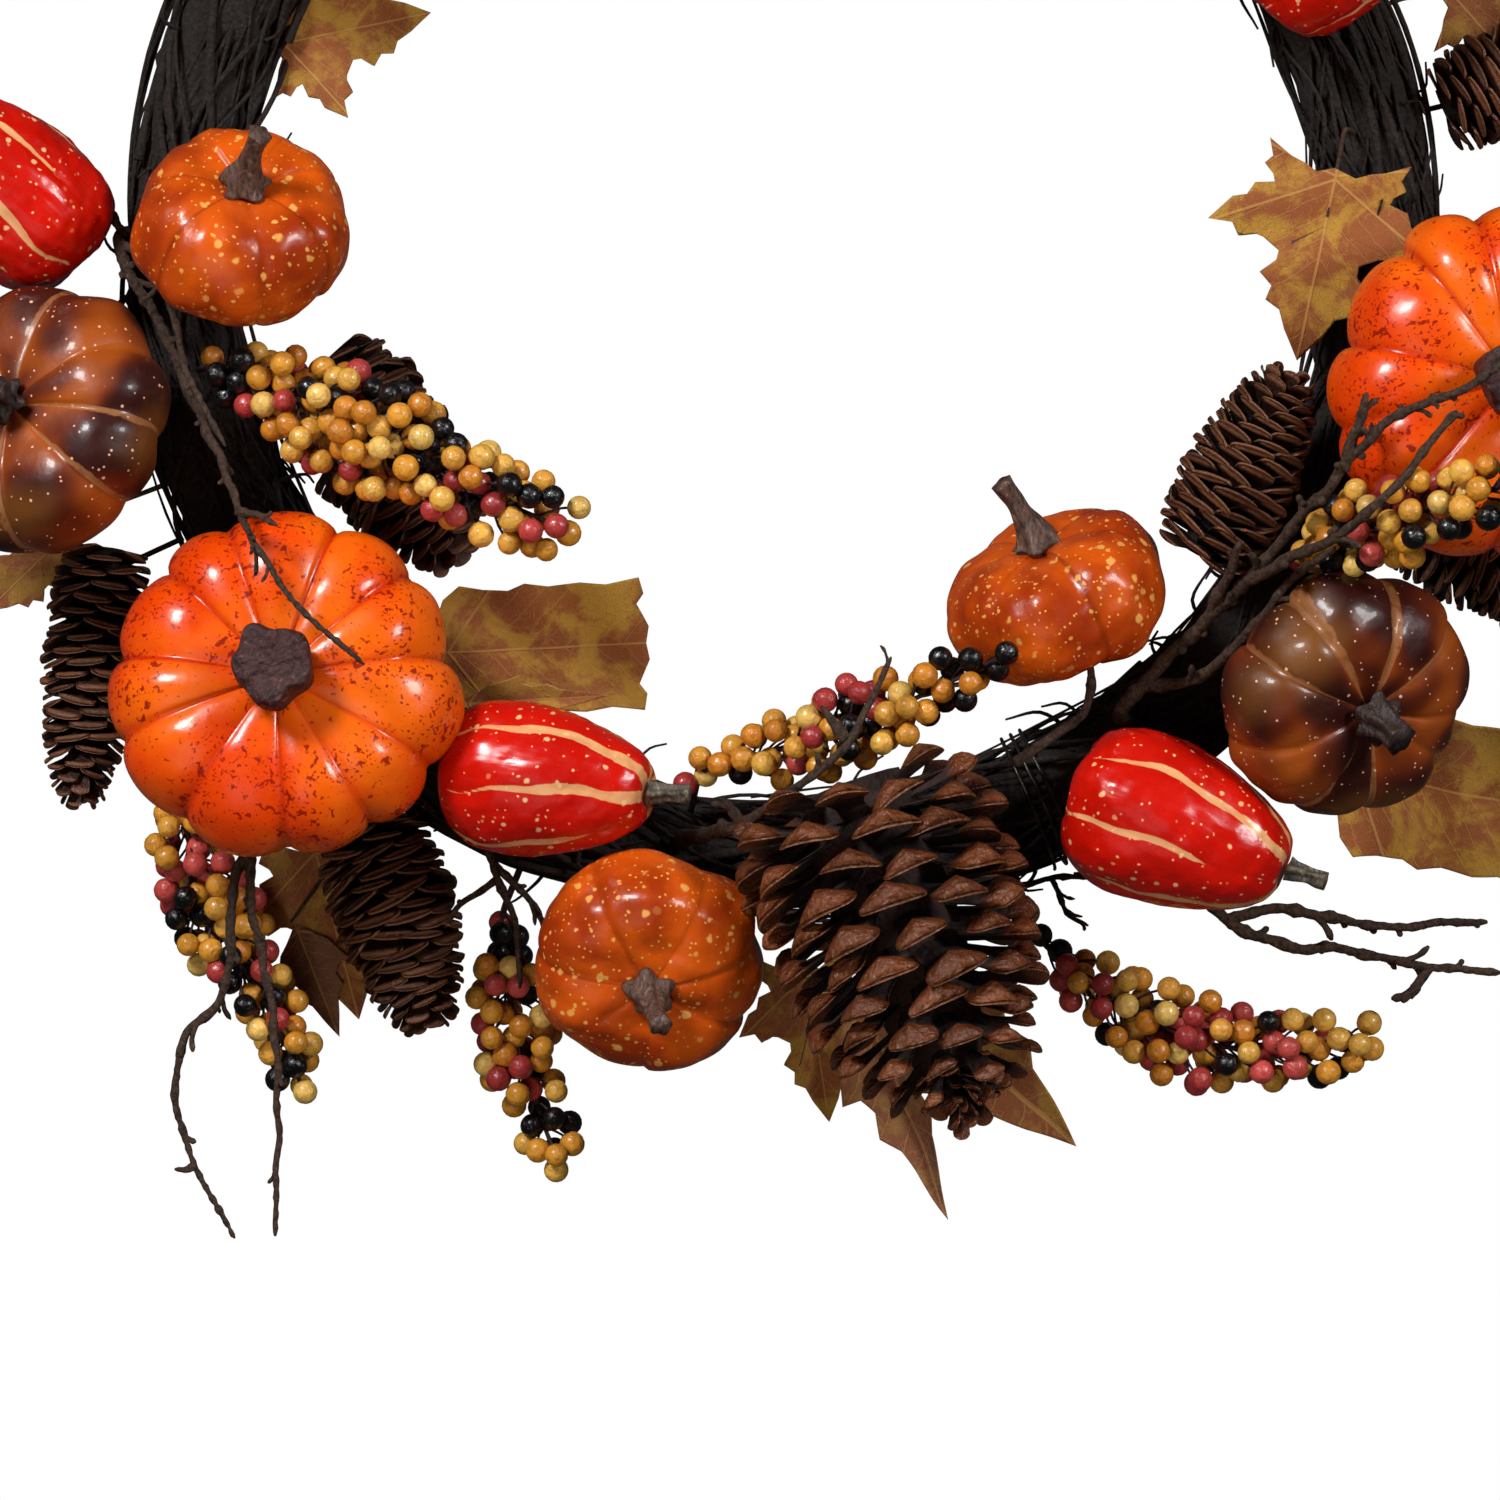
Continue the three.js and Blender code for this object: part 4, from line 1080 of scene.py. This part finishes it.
def add_branch(soup, points, thick, thin, rng, stubs=0.0):
    """A rough tapering branch with knots, and blunt side stubs on each metre. Radii are in millimetres."""
    points = [np.array(tuple(p), float) for p in points]
    length = sum(np.linalg.norm(b - a) for a, b in zip(points, points[1:]))
    steps = max(int(length / (1.2 * MM)), 8)
    route = spline(points, steps)
    seed = int(rng.integers(1_000_000))
    wobble = np.stack([ripple(route, 0.02, seed + k) for k in range(3)], 1) * 1.1 * MM
    route = route + wobble * np.sin(np.linspace(0, math.pi, steps + 1))[:, None]
    travel = np.linspace(0, length, steps + 1)
    radius = np.linspace(thick, thin, steps + 1) * MM
    for knot in np.arange(rng.uniform(4, 10) * MM, length, KNOT_GAP) + rng.uniform(-3, 3) * MM:
        radius = radius * (1 + rng.uniform(0.15, 0.4) * np.exp(-(((travel - knot) / (1.6 * MM)) ** 2)))
    radius = radius * (1 + 0.1 * ripple(route, 0.004, seed + 6))
    tip = np.minimum(1, np.linspace(steps, 0, steps + 1) / 2.5 + 0.45)
    surface, faces = tube(route, radius * tip, 10)
    surface = surface + ripple(surface, 0.0024, seed + 9)[:, None] * 0.16 * MM
    soup.add(surface, faces, tint=rng.uniform(0, 0.5))
    for _ in range(rng.poisson(stubs * length)):
        k = int(rng.integers(3, steps - 1))
        add_stub(soup, route[k], route[k + 1] - route[k], radius[k], rng, seed + k)


def make_twig(name, stem, shoots, thick, thin, seed, node=None, body="wreath"):
    """Routes are places on the wreath, from the thick end. A shoot starts at a share of the stem's length."""
    rng = np.random.default_rng(seed)
    soup = Soup()
    stem = [on_wreath(*p) for p in stem]
    add_branch(soup, [tie_to_ring(stem[0])] + stem, thick, thin, rng, STUBS)
    route = spline(stem, 100)
    for share, *through in shoots:
        start = route[int(share * 100)]
        shoot = [start] + [on_wreath(*p) for p in through]
        add_branch(soup, shoot, thick * 0.8, thin, rng, STUBS * 0.8)
    soup.build(f"{name}_bark", [TWIG], body, [node] if node else ())


TWIGS = {
    "twig_left": dict(
        thick=1.9, thin=0.7,
        stem=[
            (271, 203, 54), (262.6, 190.5, 60), (252.5, 182, 78), (240.8, 181, 109), (232.5, 180, 122),
            (224, 177, 121),
        ],
        shoots=[(0.62, (240, 172, 119)), (0.0, (268, 190, 60), (258, 184, 72), (250, 178, 84))],
    ),
    "twig_lower_left": dict(
        thick=1.9, thin=0.8,
        stem=[
            (221.5, 246, 44), (219.5, 266, 44), (217, 286, 42), (217.2, 303, 42), (214.6, 326, 40),
            (209, 347, 38),
        ],
        shoots=[
            (0.0, (218.5, 260, 46), (215.4, 273, 46), (210.7, 302, 44), (207.2, 340, 42)),
            (0.8, (213.5, 338, 40)),
        ],
    ),
    "twig_inner_bottom": dict(
        thick=2.4, thin=0.8,
        stem=[(189, 182, 48), (184, 176, 76), (178, 164, 102), (171.5, 148, 104), (165, 129, 98)],
        shoots=[(0.75, (175, 140, 100)), (0.3, (186, 168, 84))],
    ),
    "twig_right": dict(
        thick=2.3, thin=1.1,
        stem=[
            (143, 175, 48), (133.7, 172, 60), (123, 174.6, 84), (111.5, 182.6, 106), (107.2, 187.5, 114),
            (102.7, 207, 124), (98.7, 222, 126),
        ],
        shoots=[
            (0.33, (115.8, 191, 121), (104.8, 206, 129)), (0.24, (123, 165, 90)), (0.62, (105, 180, 114)),
            (0.05, (134, 184, 62), (124, 184, 84), (119, 190, 96)),
        ],
    ),
    "twig_lower_right": dict(
        thick=2.3, thin=1.1,
        stem=[(145.8, 248, 24), (143.5, 265, 22), (140.8, 277, 20), (138, 295, 20), (134.6, 316, 20)],
        shoots=[
            (0.0, (142.4, 255, 26), (139.6, 270, 24), (137, 283, 22), (133, 302, 22)),
            (0.75, (139.4, 303, 20)),
        ],
    ),
}

# Twigs that only fill the ring out
FILLERS = {
    "twig_hanging": dict(
        thick=1.6, thin=0.7, stem=[(207, 200, 34), (204, 212, 38), (201, 226, 38), (199.5, 240, 36)],
        shoots=[(0.3, (206, 222, 38), (206.5, 232, 38)), (0.2, (201, 214, 38), (198, 226, 36))],
    ),
    "twig_behind_gourd": dict(
        thick=1.1, thin=0.7, stem=[(160, 208, 16), (154, 213, 16), (151.5, 222, 16)],
        shoots=[(0.4, (156, 222, 14), (155, 229, 14)), (0.6, (150, 217, 16))],
    ),
    "twig_top_left": dict(
        thick=2.4, thin=0.8,
        stem=[(334, 182, 40), (326, 178, 66), (318, 168, 84), (309, 158, 94), (300, 152, 96)],
        shoots=[(0.5, (318, 178, 92), (308, 182, 98)), (0.7, (311, 150, 94))],
    ),
    "twig_top_right": dict(
        thick=2.4, thin=0.9, stem=[(40, 200, 40), (46, 232, 48), (52, 252, 50), (56, 276, 48)],
        shoots=[(0.2, (42, 244, 48), (41, 268, 50)), (0.7, (60, 268, 46))],
    ),
}


VINE_CORE_SHARE = 0.68  # how much of the bundle's width and depth its dark core fills
VINE_LAYERS = 3
VINES_IN_LAYER = 76
STRAYS_IN_LAYER = 90


def vine_route(rng, start, sweep, steps):
    """A vine winding in the ring's bundle: degrees round the ring, drifting about in the section."""
    t = np.linspace(0, 1, steps)
    clock = np.radians(start + sweep * t)
    drift = rng.uniform(-5, 5) * t + 0.9 * np.sin(TURN * (rng.uniform(0.8, 2.6) * t + rng.random()))
    around = rng.uniform(0, TURN) + drift
    deep = np.sqrt(rng.uniform(0.45, 1.0)) * (0.9 + 0.12 * np.sin(TURN * (3 * t + rng.random())))
    radius = RING_RADIUS + (BUNDLE_HALF_WIDTH - 1.2 * MM) * deep * np.cos(around)
    y = BUNDLE_Y + (BUNDLE_HALF_DEPTH - 1.5 * MM) * deep * np.sin(around)
    return np.stack([radius * np.sin(clock) + CENTRE.x, y, radius * np.cos(clock) + CENTRE.z], -1)


def add_stray(soup, rng):
    """A short broken end that curls out of the bundle."""
    base = vine_route(rng, rng.uniform(0, 360), 5, 4)[1]
    out = (base - np.array(CENTRE)) * (1, 0, 1)
    out /= np.linalg.norm(out)
    heart = np.array([CENTRE.x, BUNDLE_Y, CENTRE.z]) + out * RING_RADIUS
    away = base - heart
    away /= np.linalg.norm(away)
    away[1] = min(away[1], 0.0)
    forth = np.cross(out, (0, 1, 0)) * rng.choice([-1, 1]) * rng.uniform(0.5, 1.8)
    reach = rng.uniform(4, 12) * MM
    end = base + (away + forth) * reach
    bend = base + (away * 0.7 + forth * 0.3) * reach + across_to(rng, away) * 0.25 * reach
    end[1] = min(end[1], DOOR_Y - 3 * MM)
    route = spline([base - away * 3 * MM, base, bend, end], 9)
    points, faces = tube(route, np.linspace(rng.uniform(0.5, 0.9), 0.35, 10) * MM, 6)
    soup.add(points, faces, tint=rng.uniform(0, 1))


def make_vine_core():
    """A dark lumpy ring that fills the middle of the bundle."""
    steps, sides = 180, 24
    clock = np.radians(np.linspace(0, 358, steps))
    middle_line = RING_RADIUS * np.stack([np.sin(clock), 0 * clock, np.cos(clock)], -1)
    angle = np.linspace(0, TURN, sides, endpoint=False)[None, :, None]
    out = middle_line / RING_RADIUS
    wide = BUNDLE_HALF_WIDTH * np.cos(angle) * out[:, None]
    deep = BUNDLE_HALF_DEPTH * np.sin(angle) * np.array([0, 1.0, 0])
    section = VINE_CORE_SHARE * (wide + deep)
    place = np.array([CENTRE.x, BUNDLE_Y, CENTRE.z]) + middle_line[:, None]
    lumps = 1 + 0.16 * ripple((place + section).reshape(-1, 3), 12 * MM, 4).reshape(steps, sides, 1)
    points = (place + section * lumps).reshape(-1, 3)
    i, j = np.meshgrid(np.arange(steps), np.arange(sides), indexing="ij")
    k, m = (i + 1) % steps, (j + 1) % sides
    quads = np.stack([i * sides + j, i * sides + m, k * sides + m, k * sides + j], -1).reshape(-1, 4)
    shape_piece("vine_core", points, [quads], VINE, "wreath", "vine", tint=1.0)


def make_vines():
    """Layers of single vines and strays, wound round the core."""
    rng = np.random.default_rng(11)
    for layer in range(VINE_LAYERS):
        soup = Soup()
        for _ in range(VINES_IN_LAYER):
            sweep = rng.uniform(70, 220)
            route = vine_route(rng, rng.uniform(0, 360), sweep, int(sweep * 0.55))
            thickness = rng.choice([0.45, 0.65, 0.95, 1.45], p=[0.35, 0.35, 0.22, 0.08]) * MM
            radius = thickness * (1 + 0.15 * ripple(route, 0.02, int(rng.integers(9999))))
            points, faces = tube(route, radius, 6)
            soup.add(points, faces, tint=rng.uniform(0, 1) ** 1.5)
        for _ in range(STRAYS_IN_LAYER):
            add_stray(soup, rng)
        soup.build(f"vines_{layer + 1}", [VINE], "wreath", ["vine_ring"] if layer == 0 else ())


# --- wires --------------------------------------------------------------------------------------


HANGER_WIRE = 1.0 * MM
BINDING_WIRE = 0.55 * MM
BINDING_TURNS = 3
BINDING_PITCH = 1.1  # degrees round the ring for each turn


def make_wire(name, node, route, radius):
    points, faces = tube(route, radius, 12)
    shape_piece(name, points, faces, WIRE, body_of(node), "steel_wire", [node])


def make_hoop():
    depth = HOOP_DEPTH / MM
    hoop = [on_wreath(a, RING_RADIUS / MM, depth) for a in np.linspace(0, 360, 145)]
    make_wire("hoop_wire", "wire_hoop", [tuple(p) for p in hoop], HOOP_WIRE)


def make_hanger():
    """A loop of wire whose two legs end in eyes wound round the hoop."""
    low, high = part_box("hanger_loop")
    wire = HANGER_WIRE
    eye = (high.y - low.y) / 2 - wire
    half = (high.x - low.x) / 2 - wire
    hoop_top = CENTRE.z + RING_RADIUS
    leg_y = high.y - wire
    route = []
    for side in (-1, 1):
        turns = np.linspace(-0.55 * math.pi, -2 * math.pi, 14)
        leg = [(side * half, CENTRE.y + eye * math.cos(a), hoop_top + eye * math.sin(a)) for a in turns]
        leg += [(side * half, leg_y, hoop_top + 10 * MM), (side * half, leg_y, high.z - wire - half)]
        route += leg if side < 0 else leg[::-1]
        if side < 0:
            bends = np.linspace(math.pi, 0, 9)[1:-1]
            route += [(half * math.cos(a), leg_y, high.z - wire - half + half * math.sin(a)) for a in bends]
    make_wire("hanger_wire", "hanger_loop", spline(route, 150), wire)


def make_binding():
    middle_of = middle("binding_wire")
    clock = math.degrees(math.atan2(middle_of.x - CENTRE.x, middle_of.z - CENTRE.z))
    loops = []
    for turn in np.linspace(0, BINDING_TURNS, 121):
        a = turn * TURN
        reach = RING_RADIUS / MM + 0.96 * (BUNDLE_HALF_WIDTH / MM) * math.cos(a)
        deep = (DOOR_Y - BUNDLE_Y) / MM - 0.96 * (BUNDLE_HALF_DEPTH / MM) * math.sin(a)
        loops.append(tuple(on_wreath(clock + BINDING_PITCH * (turn - BINDING_TURNS / 2), reach, deep)))
    make_wire("binding_strand", "binding_wire", loops, BINDING_WIRE)


# --- the wreath ---------------------------------------------------------------------------------

PUMPKINS = {
    "pumpkin_orange": dict(look=ORANGE, slot="orange_paint", lobes=11, groove=0.13, dimple=0.34, dents=0.016),
    "pumpkin_rust": dict(look=RUST, slot="rust_paint", lobes=7, groove=0.055, dimple=0.28, dents=0.03),
    "pumpkin_brown": dict(look=BROWN, slot="brown_paint", lobes=9, groove=0.11, dimple=0.34, dents=0.028),
}
RUST_STEM = dict(
    look=STEM, slot="pumpkin_stem", waist=2.5 * MM, foot_size=2.9, end_size=1.35, ribs=5, bend=0.12, reach=1
)
BROWN_STUB = dict(
    look=BROWN_STEM, slot="pumpkin_stem", waist=4.4 * MM, foot_size=1.7, end_size=1.2, ribs=6, bend=0, reach=1
)

# Roughly where each cone's tip points
CONE_TIPS = {
    "pinecone_left": (0, 0, -1),
    "pinecone_inner_left": (0.6, 0, -0.8),
    "pinecone_lower_left": (0, 0, -1),
    "pinecone_right": (0.4, 0, 1),
    "pinecone_outer_right": (1, 0, 0),
    "pinecone_upper_right": (1, 0, 0),
    "pinecone_top": (0, 0, 1),
}
LARGE_CONE_TIPS = {"pinecone_large_bottom": (0.34, -0.1, -0.93), "pinecone_large_top": (-0.7, -0.1, 0.7)}

# Name: foot, direction, length and how it is cut, folded and worn
LEAVES = {
    "leaf_inner_left": (
        (222, 165, 30), (1, -0.1, 0.04), 66, dict(outline=BLUNT, stalk=4, spread=0.78, fold=0.12, curl=0.1),
    ),
    "leaf_lower_left": (
        (221.4, 226, 3), (0.25, 0, -0.97), 58, dict(fold=0.02, curl=0.0, spread=0.85, worn=0.25),
    ),
    "leaf_cluster_bottom": (
        (176, 212, 8), (0.47, -0.1, -0.88), 80,
        dict(outline=NARROW, stalk=16, spread=0.8, fold=0.7, curl=-0.25, worn=0.6),
    ),
    "leaf_right": (
        (133.5, 227, 14), (0.96, -0.05, -0.2), 66, dict(outline=BLUNT, turn=12, fold=0.25, spread=0.95),
    ),
    "leaf_upper_right": ((77.7, 178, 48), (-0.2, 0, -0.97), 60, dict(fold=0.05)),
}

# Leaves without a node of their own
EXTRA_LEAVES = {
    "leaf_inner_left_lobe": (
        (216, 171, 40), (1, -0.1, 0.05), 46, dict(outline=NARROW, stalk=2, spread=0.7, fold=0.4),
    ),
    "leaf_lower_left_under": (
        (216.6, 256, 4), (0.36, 0, -0.93), 38, dict(outline=NARROW, stalk=2, spread=1.3, worn=0.9),
    ),
    "leaf_bottom_right": (
        (174, 213, 8), (0.73, -0.1, -0.68), 82,
        dict(outline=NARROW, stalk=14, spread=1.4, fold=0.3, worn=0.3),
    ),
    "leaf_bottom_left": ((178, 214, 10), (0.15, 0, -0.99), 50, dict(stalk=6, spread=0.8, fold=0.3, worn=0.2)),
    "leaf_far_left": ((250, 232, 10), (-0.7, -0.05, -0.7), 36, dict(stalk=6, worn=0.3)),
    "leaf_top_left": ((330, 208, 12), (-0.8, -0.05, 0.5), 56, dict()),
    "leaf_top": ((5, 208, 12), (0.1, -0.05, 0.95), 44, dict(stalk=4, worn=0.2)),
    "leaf_top_inner": ((28, 166, 26), (0.1, -0.1, -0.95), 52, dict(stalk=6, fold=0.2)),
    "leaf_top_right": ((67, 212, 10), (1, -0.05, 0.15), 54, dict(spread=0.9, worn=0.2)),
    "leaf_left": ((292, 176, 20), (1, -0.1, 0.2), 50, dict(stalk=6, spread=0.9, fold=0.25)),
}


def names_starting(start, end=""):
    return [n.removesuffix(end) for n in sorted(frame["nodes"]) if n.startswith(start) and n.endswith(end)]


def make_stalk():
    """The wrapped wire under the pumpkin that stands off the ring."""
    route, _ = spine_of("pumpkin_stalk")
    body = np.array(middle("pumpkin_rust_stalk_body"))
    foot = route[0] + (route[0] - route[2]) * 1.2
    end = body + (route[-1] - body) * 0.7
    soup = Soup()
    add_branch(soup, [foot, route[0], route[4], route[-1], end], 1.6, 1.3, np.random.default_rng(5))
    soup.build("stalk_wrap", [TWIG], body_of("pumpkin_stalk"), ["pumpkin_stalk"])


def make_wreath():
    for kind, shape in PUMPKINS.items():
        for seed, name in enumerate(names_starting(kind, "_body")):
            centre, axis = make_pumpkin(name, seed=seed + 3, **shape)
            if kind == "pumpkin_orange":
                make_knob(name, centre, axis, seed + 1)
            else:
                stem = RUST_STEM if kind == "pumpkin_rust" else BROWN_STUB
                make_stem(name, centre, axis, seed=seed + 1, **stem)
    for seed, name in enumerate(names_starting("gourd", "_body")):
        make_gourd(name, seed + 5)
    for seed, (name, tip) in enumerate(CONE_TIPS.items()):
        make_cone(name, tip, SLIM_CONE, seed + 2)
    for seed, (name, tip) in enumerate(LARGE_CONE_TIPS.items()):
        make_cone(name, tip, LARGE_CONE, seed + 30)
    for seed, name in enumerate(names_starting("berry_spray")):
        make_spray(name, seed + 50)
    for seed, (name, (foot, direction, length, cut)) in enumerate({**LEAVES, **EXTRA_LEAVES}.items()):
        node = name if name in LEAVES else None
        make_leaf(f"{name}_cloth", foot, direction, length, node, seed, **cut)
    for seed, (name, route) in enumerate(TWIGS.items()):
        make_twig(name, seed=seed + 80, node=name, body=body_of(name), **route)
    for seed, (name, route) in enumerate(FILLERS.items()):
        make_twig(name, seed=seed + 90, **route)
    make_vine_core()
    make_vines()
    make_hoop()
    make_hanger()
    make_binding()
    make_stalk()


FLOOR_BELOW = 1.2  # the wreath hangs at door height


def make_floor():
    bpy.ops.mesh.primitive_plane_add(size=4, location=(CENTRE.x, 0, CENTRE.z - FLOOR_BELOW))
    floor = bpy.context.object
    floor.name = "floor"
    floor.data.materials.append(pale_floor())
    floor.visible_diffuse = False
    floor.visible_glossy = False


make_camera()
make_studio()
make_floor()
make_wreath()
